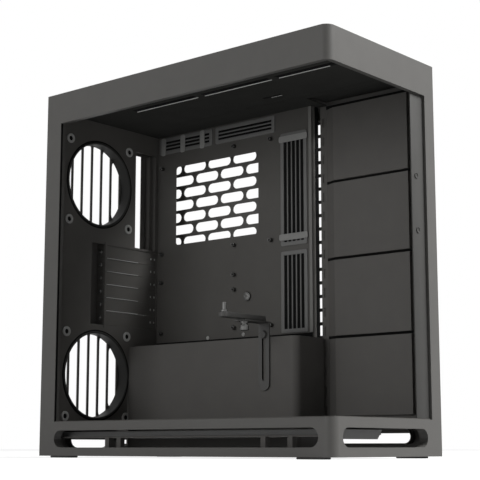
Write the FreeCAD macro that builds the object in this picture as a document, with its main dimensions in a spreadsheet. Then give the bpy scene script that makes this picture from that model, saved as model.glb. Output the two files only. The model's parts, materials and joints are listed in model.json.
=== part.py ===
"""Tower computer case: folded outer shell, inner sheet metal, slots, filter and card support.

Millimetres. +Z is up, -Y is the front, -X is the open left side. The origin is under the middle of
the case, on the surface that its feet stand on.
"""
import FreeCAD, Part
import os
import Sketcher

DOC = FreeCAD.newDocument("computer_case")
SHEET = DOC.addObject("Spreadsheet::Sheet", "Sizes")
NODES = {}


class Size:
    """A length that carries its number and the spreadsheet expression that gives it."""

    def __init__(self, number, text):
        self.number = float(number)
        self.text = text

    def __add__(self, other):
        other = as_size(other)
        return Size(self.number + other.number, f"({self.text} + {other.text})")

    def __radd__(self, other):
        return as_size(other) + self

    def __sub__(self, other):
        other = as_size(other)
        return Size(self.number - other.number, f"({self.text} - {other.text})")

    def __rsub__(self, other):
        return as_size(other) - self

    def __mul__(self, factor):
        factor = as_size(factor)
        return Size(self.number * factor.number, f"({self.text} * {factor.text})")

    def __rmul__(self, factor):
        return self * factor

    def __truediv__(self, divisor):
        divisor = as_size(divisor)
        return Size(self.number / divisor.number, f"({self.text} / {divisor.text})")

    def __neg__(self):
        return Size(-self.number, f"(-1 * {self.text})")


def as_size(value):
    """Return a Size for a plain number, or the Size itself."""
    if isinstance(value, Size):
        return value
    return Size(value, repr(float(value)))


def smaller(first, second):
    """The lesser of two sizes, also after a change in the spreadsheet."""
    return Size(min(first.number, second.number), f"min({first.text}; {second.text})")


def size(alias, number):
    """Put one driving dimension into the spreadsheet under its alias."""
    size.row += 1
    SHEET.set(f"A{size.row}", alias.replace("_", " "))
    SHEET.set(f"B{size.row}", str(number))
    SHEET.setAlias(f"B{size.row}", alias)
    return Size(number, f"Sizes.{alias}")


size.row = 0

# Overall sizes and sheet thicknesses
width = size("width", 246)
depth = size("depth", 526)
height = size("height", 540)
shell = size("shell", 2)
sheet = size("sheet", 1.2)
corner_radius = size("corner_radius", 12.3)
reveal = size("reveal", 0.4)
running_gap = size("running_gap", 0.3)
overcut = size("overcut", 1)
close_fit = size("close_fit", 0.1)
LEFT = -width / 2
RIGHT = width / 2
FRONT = -depth / 2
REAR = depth / 2
ROUND_SIDES = 16
WIDE_ROUND_SIDES = 48
SCREW_SIDES = 12
BUTTON_SIDES = 24
STANDOFF_SIDES = 6

# Feet and plinth
foot_height = size("foot_height", 2.5)
foot_length = size("foot_length", 42)
foot_width = size("foot_width", 18)
foot_inset = size("foot_inset", 4)
foot_setback = size("foot_setback", 18)
foot_chamfer = size("foot_chamfer", 3)
skirt_top = size("skirt_top", 50.5)
skirt_bottom_flange = size("skirt_bottom_flange", 26)
skirt_top_flange = size("skirt_top_flange", 14)
vent_slot_low = size("vent_slot_low", 14.3)
vent_slot_high = size("vent_slot_high", 38.3)
vent_slot_flange = size("vent_slot_flange", 11)
vent_slot_lip = size("vent_slot_lip", 1.2)
left_slot_front = size("left_slot_front", 22)
left_slot_rear = size("left_slot_rear", 31)
front_slot_left = size("front_slot_left", 20)
front_slot_right = size("front_slot_right", 34.5)
right_slot_front = size("right_slot_front", 41)
right_slot_low = size("right_slot_low", 20)
rear_slot_left = size("rear_slot_left", 50)
rear_slot_length = size("rear_slot_length", 86)
FLOOR = skirt_top + sheet

# Posts and hood
hood_height = size("hood_height", 46.5)
hood_lip = size("hood_lip", 5)
hood_rim = size("hood_rim", 14)
hood_front_rim = size("hood_front_rim", 28)
hood_ledge = size("hood_ledge", 6)
ceiling_rise = size("ceiling_rise", 20)
rear_post_width = size("rear_post_width", 30.5)
rear_post_return = size("rear_post_return", 18)
rear_right_return = size("rear_right_return", 6)
post_fold = size("post_fold", 9)
front_post_width = size("front_post_width", 23)
side_post_width = size("side_post_width", 23)
seat_recess = size("seat_recess", 11)
seat_width = size("seat_width", 24)
seat_overlap = size("seat_overlap", 4)
seat_pad_radius = size("seat_pad_radius", 5.5)
seat_pad_height = size("seat_pad_height", 1.5)
seat_pad_drop = size("seat_pad_drop", 111.5)
seat_pad_pitch = size("seat_pad_pitch", 77)
seat_pad_count = 2
hood_bottom = height - hood_height
ceiling_level = hood_bottom + ceiling_rise
CEILING_TOP = ceiling_level + sheet

# Brick pattern of the side panel and long slots of the lid and the floor
brick_length = size("brick_length", 47.5)
brick_height = size("brick_height", 15)
brick_chamfer = size("brick_chamfer", 4.4)
brick_pitch_along = size("brick_pitch_along", 52.5)
brick_pitch_up = size("brick_pitch_up", 20)
brick_side_margin = size("brick_side_margin", 5.5)
brick_end_margin = size("brick_end_margin", 3.5)
lid_slot_width = size("lid_slot_width", 9)
lid_slot_pitch = size("lid_slot_pitch", 15)
lid_slot_margin = size("lid_slot_margin", 12)
lid_web = size("lid_web", 14)
lid_columns = 3
floor_slot_width = size("floor_slot_width", 9)
floor_slot_pitch = size("floor_slot_pitch", 16)
floor_slot_margin = size("floor_slot_margin", 22)

# Motherboard tray: the board's standard hole grid sets the openings and slots beside it
rear_wall_inset = size("rear_wall_inset", 20)
WALL_Y = REAR - rear_wall_inset
WALL_BACK = WALL_Y + sheet
tray_inset = size("tray_inset", 25)
tray_roll = size("tray_roll", 6)
tray_return = size("tray_return", 1)
tray_apron = size("tray_apron", 71.2)
board_setback = size("board_setback", 11.5)
board_middle_step = size("board_middle_step", 152.4)
board_front_step = size("board_front_step", 224.8)
board_drop = size("board_drop", 38.5)
board_rear_drop = size("board_rear_drop", 14.5)
board_middle_drop = size("board_middle_drop", 155)
board_small_drop = size("board_small_drop", 178)
board_small_extra = size("board_small_extra", 22.86)
board_bottom_drop = size("board_bottom_drop", 282)
cpu_setback = size("cpu_setback", 28.5)
cpu_length = size("cpu_length", 171)
cpu_drop = size("cpu_drop", 15)
cpu_height = size("cpu_height", 127)
cpu_radius = size("cpu_radius", 5)
standoff_radius = size("standoff_radius", 3.2)
standoff_length = size("standoff_length", 6.5)
thumb_step = size("thumb_step", 177.8)
thumb_drop = size("thumb_drop", 236.2)
thumb_radius = size("thumb_radius", 7)
thumb_height = size("thumb_height", 4)
tray_face = RIGHT - tray_inset
board_rear_column = WALL_Y - board_setback
board_front_column = board_rear_column - board_front_step
board_top_row = ceiling_level - board_drop
tray_front = board_front_column - tray_apron
cpu_rear = board_rear_column - cpu_setback
cpu_front = cpu_rear - cpu_length
cpu_high = board_top_row - cpu_drop
cpu_low = cpu_high - cpu_height

# Port opening and expansion slots
port_step = size("port_step", 51.5)
port_width = size("port_width", 45.5)
port_jog = size("port_jog", 6)
port_lip = size("port_lip", 6)
port_jamb = size("port_jamb", 6.6)
port_drop = size("port_drop", 148.5)
port_height = size("port_height", 155.5)
slot_pitch = size("slot_pitch", 20.32)
slot_port_gap = size("slot_port_gap", 4)
slot_count = 6
slot_reach = size("slot_reach", 113)
slot_right_gap = size("slot_right_gap", 4)
slot_access = size("slot_access", 27)
slot_rim = size("slot_rim", 1.5)
slot_bar_width = size("slot_bar_width", 4)
slot_gap = size("slot_gap", 0.2)
slot_tab = size("slot_tab", 11)
slot_foot = size("slot_foot", 3)
slot_bead_length = size("slot_bead_length", 70)
slot_bead_height = size("slot_bead_height", 3.2)
slot_bead_depth = size("slot_bead_depth", 1)
slot_screw_radius = size("slot_screw_radius", 3.4)
slot_screw_head = size("slot_screw_head", 2.4)
port_left = tray_face - port_step
port_low = board_top_row - port_drop
slot_top = port_low - slot_port_gap
slot_low = slot_top - slot_pitch * slot_count
slot_left = tray_face - slot_reach
slot_right = tray_face - slot_right_gap

# Power-supply bay
psu_floor = size("psu_floor", 16)
psu_wall_inset = size("psu_wall_inset", 5)
shroud_width = size("shroud_width", 63)
shroud_drop = size("shroud_drop", 24.5)
shroud_step = size("shroud_step", 22.5)
shroud_rear_gap = size("shroud_rear_gap", 2)
shroud_radius = size("shroud_radius", 11.5)
shroud_tab_width = size("shroud_tab_width", 16)
shroud_tab_height = size("shroud_tab_height", 12)
psu_center_inset = size("psu_center_inset", 44.5)
psu_window_x = size("psu_window_x", 74)
psu_window_margin = size("psu_window_margin", 8.5)
psu_hole_x = size("psu_hole_x", 64)
psu_hole_margin = size("psu_hole_margin", 6)
psu_tab = size("psu_tab", 11)
psu_screw_radius = size("psu_screw_radius", 2)
shroud_face = tray_face - shroud_width
shroud_top = board_top_row - board_bottom_drop - shroud_drop
shroud_front = tray_front - shroud_step
psu_center_x = RIGHT - psu_center_inset
psu_wall_left = shroud_face + psu_wall_inset
psu_center_z = (psu_floor + shroud_top) / 2
psu_window_z = shroud_top - psu_floor - psu_window_margin
psu_hole_z = psu_window_z - psu_hole_margin

# Rear wall, fans and grilles: each fan hole is as large as the room between its neighbours allows
rear_wall_left = size("rear_wall_left", 12)
rear_wall_right = size("rear_wall_right", 11)
rear_wall_flange = size("rear_wall_flange", 9)
fan_side_margin = size("fan_side_margin", 12.25)
fan_end_margin = size("fan_end_margin", 2.86)
fan_side_shift = size("fan_side_shift", 0.75)
fan_floor_gap = size("fan_floor_gap", 3.8)
fan_ceiling_gap = size("fan_ceiling_gap", 31.1)
fan_ring_wall = size("fan_ring_wall", 3.5)
fan_ring_front = size("fan_ring_front", 1.6)
fan_ring_gap = size("fan_ring_gap", 1)
fan_corner_step = size("fan_corner_step", 8.5)
fan_screw_radius = size("fan_screw_radius", 2.2)
fan_pad_radius = size("fan_pad_radius", 7.4)
fan_pad_height = size("fan_pad_height", 1.8)
grille_margin = size("grille_margin", 2.5)
grille_edge = size("grille_edge", 8.4)
grille_bar = size("grille_bar", 3.7)
grille_slots = 6
fan_room_x = port_left - (LEFT + rear_wall_left)
fan_room_z = slot_low - slot_pitch / 2 - FLOOR
fan_hole_radius = smaller(fan_room_x / 2 - fan_side_margin, fan_room_z / 2 - fan_end_margin)
fan_ring_inner = fan_hole_radius - fan_ring_wall
fan_hole_spacing = fan_hole_radius * 2 - fan_corner_step
fan_center_x = LEFT + rear_wall_left + fan_room_x / 2 + fan_side_shift
fan_upper_z = ceiling_level - fan_ceiling_gap - fan_hole_radius
fan_lower_z = FLOOR + fan_floor_gap + fan_hole_radius
grille_radius = fan_hole_radius + grille_margin
grille_pitch = (grille_radius - grille_edge) * 2 / grille_slots
grille_slot = grille_pitch - grille_bar

# Cable grommets and straps
grommet_rim = size("grommet_rim", 6)
grommet_depth = size("grommet_depth", 1.6)
grommet_web = size("grommet_web", 2.2)
grommet_skin = size("grommet_skin", 0.5)
top_grommet_slits = 3
side_grommet_slits = 5
top_grommet_drop = size("top_grommet_drop", 2.5)
top_grommet_height = size("top_grommet_height", 27)
top_grommet_setback = size("top_grommet_setback", 4)
top_rear_grommet_length = size("top_rear_grommet_length", 114)
top_grommet_gap = size("top_grommet_gap", 7)
top_front_grommet_length = size("top_front_grommet_length", 119)
side_grommet_step = size("side_grommet_step", 18.7)
side_grommet_width = size("side_grommet_width", 49)
side_grommet_rise = size("side_grommet_rise", 4.5)
side_upper_length = size("side_upper_length", 171.5)
side_grommet_gap = size("side_grommet_gap", 8)
side_lower_lift = size("side_lower_lift", 10.5)
strap_width = size("strap_width", 9.5)
strap_thickness = size("strap_thickness", 1.5)
strap_over = size("strap_over", 2)
top_strap_setback = size("top_strap_setback", 10)
top_strap_pitch = size("top_strap_pitch", 42)
top_strap_count = 3
side_strap_drop = size("side_strap_drop", 9.5)
side_strap_lift = size("side_strap_lift", 13)
top_grommet_high = ceiling_level - top_grommet_drop
top_grommet_low = top_grommet_high - top_grommet_height
top_rear_grommet_rear = WALL_Y - top_grommet_setback
top_rear_grommet_front = top_rear_grommet_rear - top_rear_grommet_length
top_front_grommet_rear = top_rear_grommet_front - top_grommet_gap
top_front_grommet_front = top_front_grommet_rear - top_front_grommet_length
side_grommet_rear = board_front_column - side_grommet_step
side_grommet_front = side_grommet_rear - side_grommet_width
side_upper_high = board_top_row + side_grommet_rise
side_upper_low = side_upper_high - side_upper_length
side_lower_high = side_upper_low - side_grommet_gap
side_lower_low = shroud_top + side_lower_lift

# Side fan rack and blank covers
rack_inset = size("rack_inset", 19)
rack_setback = size("rack_setback", 16)
rack_tray_gap = size("rack_tray_gap", 17)
rack_drop = size("rack_drop", 4.5)
rack_hole_width = size("rack_hole_width", 4)
rack_hole_height = size("rack_hole_height", 13)
rack_hole_pitch = size("rack_hole_pitch", 28)
rack_hole_inset = size("rack_hole_inset", 6)
rack_rim_along = size("rack_rim_along", 16)
rack_rim_up = size("rack_rim_up", 8.25)
cover_height = size("cover_height", 6)
cover_inset_front = size("cover_inset_front", 12)
cover_inset_rear = size("cover_inset_rear", 12)
cover_slope = size("cover_slope", 15)
cover_lift = size("cover_lift", 4.3)
cover_drop = size("cover_drop", 3)
cover_gap = size("cover_gap", 4)
cover_count = 4
rack_face = RIGHT - rack_inset
rack_front = FRONT + rack_setback
rack_rear = tray_front - rack_tray_gap
rack_top = ceiling_level - rack_drop
rack_hole_y = rack_rear - rack_hole_inset
cover_face = rack_face - cover_height
cover_front = rack_front + cover_inset_front
cover_rear = rack_rear - cover_inset_rear
cover_bend = cover_rear - cover_slope
cover_first = FLOOR + cover_lift
cover_pitch = (rack_top - cover_drop - cover_first) / cover_count

# Ceiling
ceiling_left = size("ceiling_left", 10)
ceiling_gap_inset = size("ceiling_gap_inset", 59)
ceiling_slot_x = size("ceiling_slot_x", 42)
ceiling_slot_width = size("ceiling_slot_width", 12)
ceiling_slot_start = size("ceiling_slot_start", 18.5)
ceiling_slot_end = size("ceiling_slot_end", 90.5)
ceiling_slot_web = size("ceiling_slot_web", 12.5)
ceiling_slot_lip = size("ceiling_slot_lip", 3)
ceiling_slot_count = 3
ceiling_slot_run = WALL_Y - ceiling_slot_end - (FRONT + ceiling_slot_start)
ceiling_slot_pitch = (ceiling_slot_run + ceiling_slot_web) / ceiling_slot_count
ceiling_slot_length = ceiling_slot_pitch - ceiling_slot_web

# Pull-out filter and its runners
filter_inset = size("filter_inset", 27)
filter_low = size("filter_low", 30)
filter_high = size("filter_high", 36.5)
filter_setback = size("filter_setback", 17)
filter_rear_gap = size("filter_rear_gap", 23)
filter_bar = size("filter_bar", 10)
filter_mesh_thickness = size("filter_mesh_thickness", 0.8)
filter_width = size("filter_width", 100)
filter_tab_slope = size("filter_tab_slope", 11)
filter_tab_low = size("filter_tab_low", 24.5)
filter_tab_thickness = size("filter_tab_thickness", 2)
rail_width = size("rail_width", 10)
rail_thickness = size("rail_thickness", 2)
rail_leg = size("rail_leg", 8)
rail_leg_rear = size("rail_leg_rear", 99)
rail_leg_rear_inner = size("rail_leg_rear_inner", 122)
rail_leg_front = size("rail_leg_front", 62)
rail_leg_front_inner = size("rail_leg_front_inner", 105)
filter_left = LEFT + filter_inset
filter_right = filter_left + filter_width
filter_front = FRONT + filter_setback
filter_rear = REAR - filter_rear_gap
RAIL_LEGS = (
    filter_rear - rail_leg_rear,
    filter_rear - rail_leg_rear_inner,
    filter_front + rail_leg_front_inner,
    filter_front + rail_leg_front,
)

# Graphics-card support
support_step = size("support_step", 56)
bracket_width = size("bracket_width", 19)
bracket_thickness = size("bracket_thickness", 2.4)
bracket_lift = size("bracket_lift", 41.3)
bracket_rise = size("bracket_rise", 21.5)
bracket_length = size("bracket_length", 55)
bracket_slot_width = size("bracket_slot_width", 6.4)
bracket_slot_lift = size("bracket_slot_lift", 14)
bracket_slot_drop = size("bracket_slot_drop", 12)
clamp_lift = size("clamp_lift", 3.5)
clamp_shank = size("clamp_shank", 2.8)
clamp_head = size("clamp_head", 5.6)
clamp_head_height = size("clamp_head_height", 3.4)
pivot_reach = size("pivot_reach", 45)
pivot_radius = size("pivot_radius", 3)
pivot_fit = size("pivot_fit", 0.05)
arm_gap = size("arm_gap", 2)
arm_reach = size("arm_reach", 88)
arm_width = size("arm_width", 15)
arm_height = size("arm_height", 7)
knob_radius = size("knob_radius", 6.5)
knob_neck = size("knob_neck", 4.2)
knob_height = size("knob_height", 13)
knob_flange = size("knob_flange", 2.5)
post_radius = size("post_radius", 3)
post_collar = size("post_collar", 5)
post_collar_height = size("post_collar_height", 3)
post_height = size("post_height", 14)
support_y = shroud_front + support_step
bracket_low = FLOOR + bracket_lift
bracket_top = shroud_top + bracket_rise
bracket_reach = shroud_face - bracket_length
bracket_slot_low = bracket_low + bracket_slot_lift
bracket_slot_high = bracket_top - bracket_slot_drop
clamp_z = shroud_top + clamp_lift
pivot_x = shroud_face - pivot_reach
arm_right = shroud_face - arm_gap
arm_post_x = shroud_face - arm_reach

# Front ports
module_inset = size("module_inset", 19)
module_length = size("module_length", 96)
module_depth = size("module_depth", 18)
module_height = size("module_height", 14)
button_inset = size("button_inset", 12)
button_radius = size("button_radius", 6)
button_travel = size("button_travel", 1.2)
port_depth = size("port_depth", 9)
port_wall = size("port_wall", 0.8)
usb_width = size("usb_width", 13.2)
usb_height = size("usb_height", 5.8)
usb_c_width = size("usb_c_width", 9)
usb_c_height = size("usb_c_height", 3.3)
usb_step = size("usb_step", 24)
usb_pitch = size("usb_pitch", 20)
usb_count = 2
jack_step = size("jack_step", 15)
jack_radius = size("jack_radius", 3.2)
module_right = RIGHT - module_inset
module_left = module_right - module_length
button_x = module_right - button_inset
usb_first_x = button_x - usb_step

DOC.recompute()


def bind(obj, prop, value):
    """Bind one property of an object to a spreadsheet expression."""
    obj.setExpression(prop, as_size(value).text)


def bind_base(obj, x, y, z):
    """Bind the base point of an object's placement."""
    bind(obj, "Placement.Base.x", x)
    bind(obj, "Placement.Base.y", y)
    bind(obj, "Placement.Base.z", z)


def box(name, xs, ys, zs):
    """Box between low and high bounds on each axis."""
    obj = DOC.addObject("Part::Box", name)
    bounds = [(as_size(low), as_size(high)) for low, high in (xs, ys, zs)]
    for prop, (low, high) in zip(("Length", "Width", "Height"), bounds):
        bind(obj, prop, high - low)
    bind_base(obj, *(low for low, _ in bounds))
    return obj


AXES = {
    "X": FreeCAD.Vector(1, 0, 0),
    "Y": FreeCAD.Vector(0, 1, 0),
    "Z": FreeCAD.Vector(0, 0, 1),
}
SAME_DIRECTION = 1e-6
TURN = {
    "X": FreeCAD.Rotation(FreeCAD.Vector(0, 1, 0), 90),
    "Y": FreeCAD.Rotation(FreeCAD.Vector(1, 0, 0), -90),
    "Z": FreeCAD.Rotation(),
}


def cylinder(name, axis, base, radius, length):
    """Cylinder from its base point along +X, +Y or +Z."""
    obj = DOC.addObject("Part::Cylinder", name)
    bind(obj, "Radius", radius)
    bind(obj, "Height", length)
    obj.Placement = FreeCAD.Placement(FreeCAD.Vector(), TURN[axis])
    bind_base(obj, *base)
    return obj


def prism(name, axis, base, radius, length, sides=ROUND_SIDES):
    """Many-sided prism from its base point along an axis: a plain round piece or hole."""
    obj = DOC.addObject("Part::Prism", name)
    obj.Polygon = sides
    bind(obj, "Circumradius", radius)
    bind(obj, "Height", length)
    obj.Placement = FreeCAD.Placement(FreeCAD.Vector(), TURN[axis])
    bind_base(obj, *base)
    return obj


def gather(name, parts):
    """Several objects as one, left separate."""
    if len(parts) == 1:
        return parts[0]
    obj = DOC.addObject("Part::Compound", name)
    obj.Links = parts
    return obj


def cut(name, base, *tools):
    """Base with every tool taken away."""
    obj = DOC.addObject("Part::Cut", name)
    obj.Base = base
    obj.Tool = gather(name + "_tools", list(tools))
    return obj


def fuse(name, *parts):
    """One solid from parts that meet."""
    obj = DOC.addObject("Part::MultiFuse", name)
    obj.Shapes = list(parts)
    obj.Refine = True
    return obj


def common(name, *parts):
    """What the parts share."""
    obj = DOC.addObject("Part::MultiCommon", name)
    obj.Shapes = list(parts)
    return obj


def soften_edges(name, base, axis, amount, kind="Part::Fillet"):
    """Round or chamfer the edges of a box that run along one axis."""
    base.recompute()
    obj = DOC.addObject(kind, name)
    obj.Base = base
    reach = as_size(amount).number
    obj.Edges = [
        (number, reach, reach)
        for number, edge in enumerate(base.Shape.Edges, 1)
        if edge.tangentAt(edge.FirstParameter).cross(AXES[axis]).Length < SAME_DIRECTION
    ]
    return obj


def pill(name, axis, xs, ys, zs):
    """Long shape with many-sided round ends, seen along an axis."""
    spans = {key: (as_size(low), as_size(high)) for key, (low, high) in zip("XYZ", (xs, ys, zs))}
    reach = {key: high - low for key, (low, high) in spans.items()}
    narrow, longer = sorted((key for key in "XYZ" if key != axis), key=lambda key: reach[key].number)
    half = reach[narrow] / 2
    ends = (spans[longer][0] + half, spans[longer][1] - half)
    middle = {**spans, longer: ends}
    parts = [box(name + "_middle", *(middle[key] for key in "XYZ"))]
    for index, end in enumerate(ends):
        base = {axis: spans[axis][0], narrow: spans[narrow][0] + half, longer: end}
        spot = [base[key] for key in "XYZ"]
        parts.append(prism(f"{name}_end_{index}", axis, spot, half, reach[axis]))
    return fuse(name, *parts)


def corner_block(name, inset, radius, zs):
    """What a rounding takes from the front left vertical corner of an outline."""
    x = LEFT + inset
    y = FRONT + inset
    block = box(name + "_block", (x - overcut, x + radius), (y - overcut, y + radius), zs)
    low, high = (as_size(value) for value in zs)
    round_part = cylinder(name + "_round", "Z", (x + radius, y + radius, low), radius, high - low)
    return cut(name, block, round_part)


def outline_box(name, inset, zs, radius=None):
    """Box as wide and deep as the case, less an inset, with its front left corner rounded."""
    whole = box(name + "_box", (LEFT + inset, RIGHT - inset), (FRONT + inset, REAR - inset), zs)
    if radius is None:
        return whole
    return cut(name, whole, corner_block(name + "_corner", as_size(inset), radius, zs))


def origin_plane(body, role):
    """One of a body's own origin planes."""
    return next(item for item in body.Origin.OriginFeatures if item.Role == role)


def outline_sketch(body, name, role, points, level):
    """Closed polygon on an origin plane, each corner bound to its two sizes."""
    sketch = body.newObject("Sketcher::SketchObject", name)
    sketch.AttachmentSupport = [(origin_plane(body, role), "")]
    sketch.MapMode = "FlatFace"
    bind(sketch, "AttachmentOffset.Base.z", level)
    corners = [(as_size(across), as_size(along)) for across, along in points]
    count = len(corners)
    spots = [FreeCAD.Vector(across.number, along.number, 0) for across, along in corners]
    for index in range(count):
        sketch.addGeometry(Part.LineSegment(spots[index], spots[(index + 1) % count]), False)
    for index in range(count):
        sketch.addConstraint(Sketcher.Constraint("Coincident", index, 2, (index + 1) % count, 1))
    for index, corner in enumerate(corners):
        for kind, value in zip(("DistanceX", "DistanceY"), corner):
            number = sketch.addConstraint(Sketcher.Constraint(kind, -1, 1, index, 1, value.number))
            bind(sketch, f"Constraints[{number}]", value)
    return sketch


def padded(name, role, points, level, length):
    """Body padded from a polygon, with the body as the sub-part."""
    body = DOC.addObject("PartDesign::Body", name)
    sketch = outline_sketch(body, name + "_outline", role, points, level)
    pad = body.newObject("PartDesign::Pad", name + "_pad")
    pad.Profile = sketch
    bind(pad, "Length", length)
    body.Tip = pad
    DOC.recompute()
    return body


def keep(label, obj):
    """Name a finished sub-part."""
    obj.Label = label
    NODES[label] = obj
    return obj


def slot_tools(name, axis, spans):
    """Flange sleeve and cutter of one rounded slot of the plinth."""
    grown = [
        (low - vent_slot_lip, high + vent_slot_lip) if key != axis else (low, high)
        for key, (low, high) in zip("XYZ", spans)
    ]
    sleeve = pill(name + "_sleeve", axis, *grown)
    through = [
        (low - vent_slot_flange, high + vent_slot_flange) if key == axis else (low, high)
        for key, (low, high) in zip("XYZ", spans)
    ]
    return sleeve, pill(name + "_opening", axis, *through)


def make_skirt():
    """Plinth: folded ring with top and bottom flanges and a rounded slot in each side."""
    outer = outline_box("skirt_outer", 0, (foot_height, skirt_top), corner_radius)
    inner_radius = corner_radius - shell
    cavity_zs = (foot_height + shell, skirt_top - shell)
    cavity = outline_box("skirt_cavity", shell, cavity_zs, inner_radius)
    below = outline_box("skirt_below", skirt_bottom_flange, (foot_height - overcut, foot_height + shell))
    above = outline_box("skirt_above", skirt_top_flange + shell, (skirt_top - shell, skirt_top + overcut))
    bay = box(
        "skirt_bay",
        (shroud_face - shell, RIGHT - shell),
        (shroud_front - shell, REAR - shell),
        (skirt_top - shell, skirt_top + overcut),
    )
    ring = cut("skirt_ring", outer, cavity, below, above, bay)
    heights = (vent_slot_low, vent_slot_high)
    inward = vent_slot_flange + shell
    left_ys = (FRONT + left_slot_front, REAR - left_slot_rear)
    right_ys = (FRONT + right_slot_front, REAR - left_slot_rear)
    front_xs = (LEFT + front_slot_left, RIGHT - front_slot_right)
    rear_xs = (LEFT + rear_slot_left, LEFT + rear_slot_left + rear_slot_length)
    slots = (
        slot_tools("left_slot", "X", ((LEFT, LEFT + inward), left_ys, heights)),
        slot_tools("right_slot", "X", ((RIGHT - inward, RIGHT), right_ys, (right_slot_low, vent_slot_high))),
        slot_tools("front_slot", "Y", (front_xs, (FRONT, FRONT + inward), heights)),
        slot_tools("rear_slot", "Y", (rear_xs, (REAR - inward, REAR), heights)),
    )
    sleeved = fuse("skirt_sleeved", ring, *(sleeve for sleeve, _ in slots))
    window = box(
        "skirt_psu_window",
        (psu_center_x - psu_window_x / 2, psu_center_x + psu_window_x / 2),
        (REAR - shell - overcut, REAR + overcut),
        (psu_center_z - psu_window_z / 2, skirt_top + overcut),
    )
    keep("base_skirt", cut("base_skirt_solid", sleeved, window, *(opening for _, opening in slots)))


def make_feet():
    """Four low rubber pads under the corners of the plinth."""
    for end, y in (("front", FRONT + foot_setback), ("rear", REAR - foot_setback - foot_length)):
        for side, x in (("left", LEFT + foot_inset), ("right", RIGHT - foot_inset - foot_width)):
            name = f"foot_{end}_{side}"
            pad = box(name + "_pad", (x, x + foot_width), (y, y + foot_length), (0, foot_height))
            keep(name, soften_edges(name + "_solid", pad, "Z", foot_chamfer, "Part::Chamfer"))


def make_floor():
    """Floor of the main bay, with long air slots, and the lower pan of the power-supply bay."""
    inside = shell + close_fit
    plate = outline_box("floor_plate", inside, (skirt_top, FLOOR), corner_radius - shell)
    bay = box(
        "floor_bay",
        (shroud_face, RIGHT),
        (shroud_front - reveal, REAR),
        (skirt_top - overcut, FLOOR + overcut),
    )
    xs = (filter_left + filter_bar, shroud_face - floor_slot_margin)
    first = FRONT + floor_slot_margin + skirt_top_flange
    last = WALL_Y - floor_slot_margin
    count = int((last.number - first.number) // floor_slot_pitch.number)
    slots = [
        box(
            f"floor_slot_{index}",
            xs,
            (first + floor_slot_pitch * index, first + floor_slot_pitch * index + floor_slot_width),
            (skirt_top - overcut, FLOOR + overcut),
        )
        for index in range(count)
    ]
    keep("floor_pan", cut("floor_pan_solid", plate, bay, *slots))
    pan = box(
        "psu_pan_solid",
        (shroud_face, RIGHT - shell - vent_slot_flange - running_gap),
        (shroud_front, REAR - shell),
        (psu_floor - sheet, psu_floor),
    )
    keep("psu_pan", pan)


def make_posts():
    """Corner posts between the plinth and the hood, and the recessed seat strip."""
    zs = (skirt_top, hood_bottom)
    fold_zs = (FLOOR, hood_bottom)
    post_front = REAR - rear_post_width
    rear_left = fuse(
        "rear_left_post_solid",
        box("rear_left_side", (LEFT, LEFT + shell), (post_front, REAR), zs),
        box("rear_left_back", (LEFT, LEFT + rear_post_return), (REAR - shell, REAR), zs),
        box("rear_left_fold", (LEFT, LEFT + post_fold), (post_front, post_front + shell), fold_zs),
    )
    keep("rear_left_post", rear_left)
    side_rear = REAR - side_post_width
    rear_right = fuse(
        "rear_right_post_solid",
        box("rear_right_side", (RIGHT - shell, RIGHT), (side_rear, REAR), zs),
        box("rear_right_back", (RIGHT - rear_right_return, RIGHT), (REAR - shell, REAR), zs),
    )
    keep("rear_right_post", rear_right)
    post_left = RIGHT - front_post_width
    seat_y = FRONT + seat_recess
    front_right = fuse(
        "front_right_post_solid",
        box("front_right_face", (post_left, RIGHT), (FRONT, FRONT + shell), zs),
        box("front_right_side", (RIGHT - shell, RIGHT), (FRONT, FRONT + side_post_width), zs),
        box("front_right_fold", (post_left, post_left + shell), (FRONT, seat_y), fold_zs),
    )
    keep("front_right_post", front_right)
    seat_right = post_left + seat_overlap
    seat_left = seat_right - seat_width
    strip = box(
        "glass_seat_strip_solid", (seat_left, seat_right), (seat_y, seat_y + sheet), (FLOOR, ceiling_level)
    )
    keep("glass_seat_strip", strip)
    pad_x = (seat_left + post_left) / 2
    pads = [
        prism(
            f"seat_pad_{index}",
            "Y",
            (pad_x, seat_y - seat_pad_height, hood_bottom - seat_pad_drop - seat_pad_pitch * index),
            seat_pad_radius,
            seat_pad_height,
        )
        for index in range(seat_pad_count)
    ]
    keep("seat_pads", gather("seat_pads_group", pads))


def make_hood():
    """Deep band round the top, with an inner lip below and a rabbet for the lid above."""
    outer = outline_box("hood_outer", 0, (hood_bottom, height), corner_radius)
    top_thickness = shell * 2
    cavity = outline_box(
        "hood_cavity", shell, (hood_bottom + shell, height - top_thickness), corner_radius - shell
    )
    lip = outline_box("hood_lip_opening", hood_lip + shell, (hood_bottom - overcut, hood_bottom + shell))
    ledge_inset = hood_rim + hood_ledge
    sides = (LEFT + ledge_inset, RIGHT - ledge_inset)
    front = FRONT + hood_front_rim
    opening = box(
        "hood_opening",
        sides,
        (front + hood_ledge, REAR - ledge_inset),
        (height - top_thickness, height - shell),
    )
    rabbet = box(
        "hood_rabbet",
        (LEFT + hood_rim, RIGHT - hood_rim),
        (front, REAR - hood_rim),
        (height - shell, height + overcut),
    )
    ports = port_cutters("hood_port", (height - top_thickness - overcut, height + overcut))
    keep("top_hood", cut("top_hood_solid", outer, cavity, lip, opening, rabbet, *ports))


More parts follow.
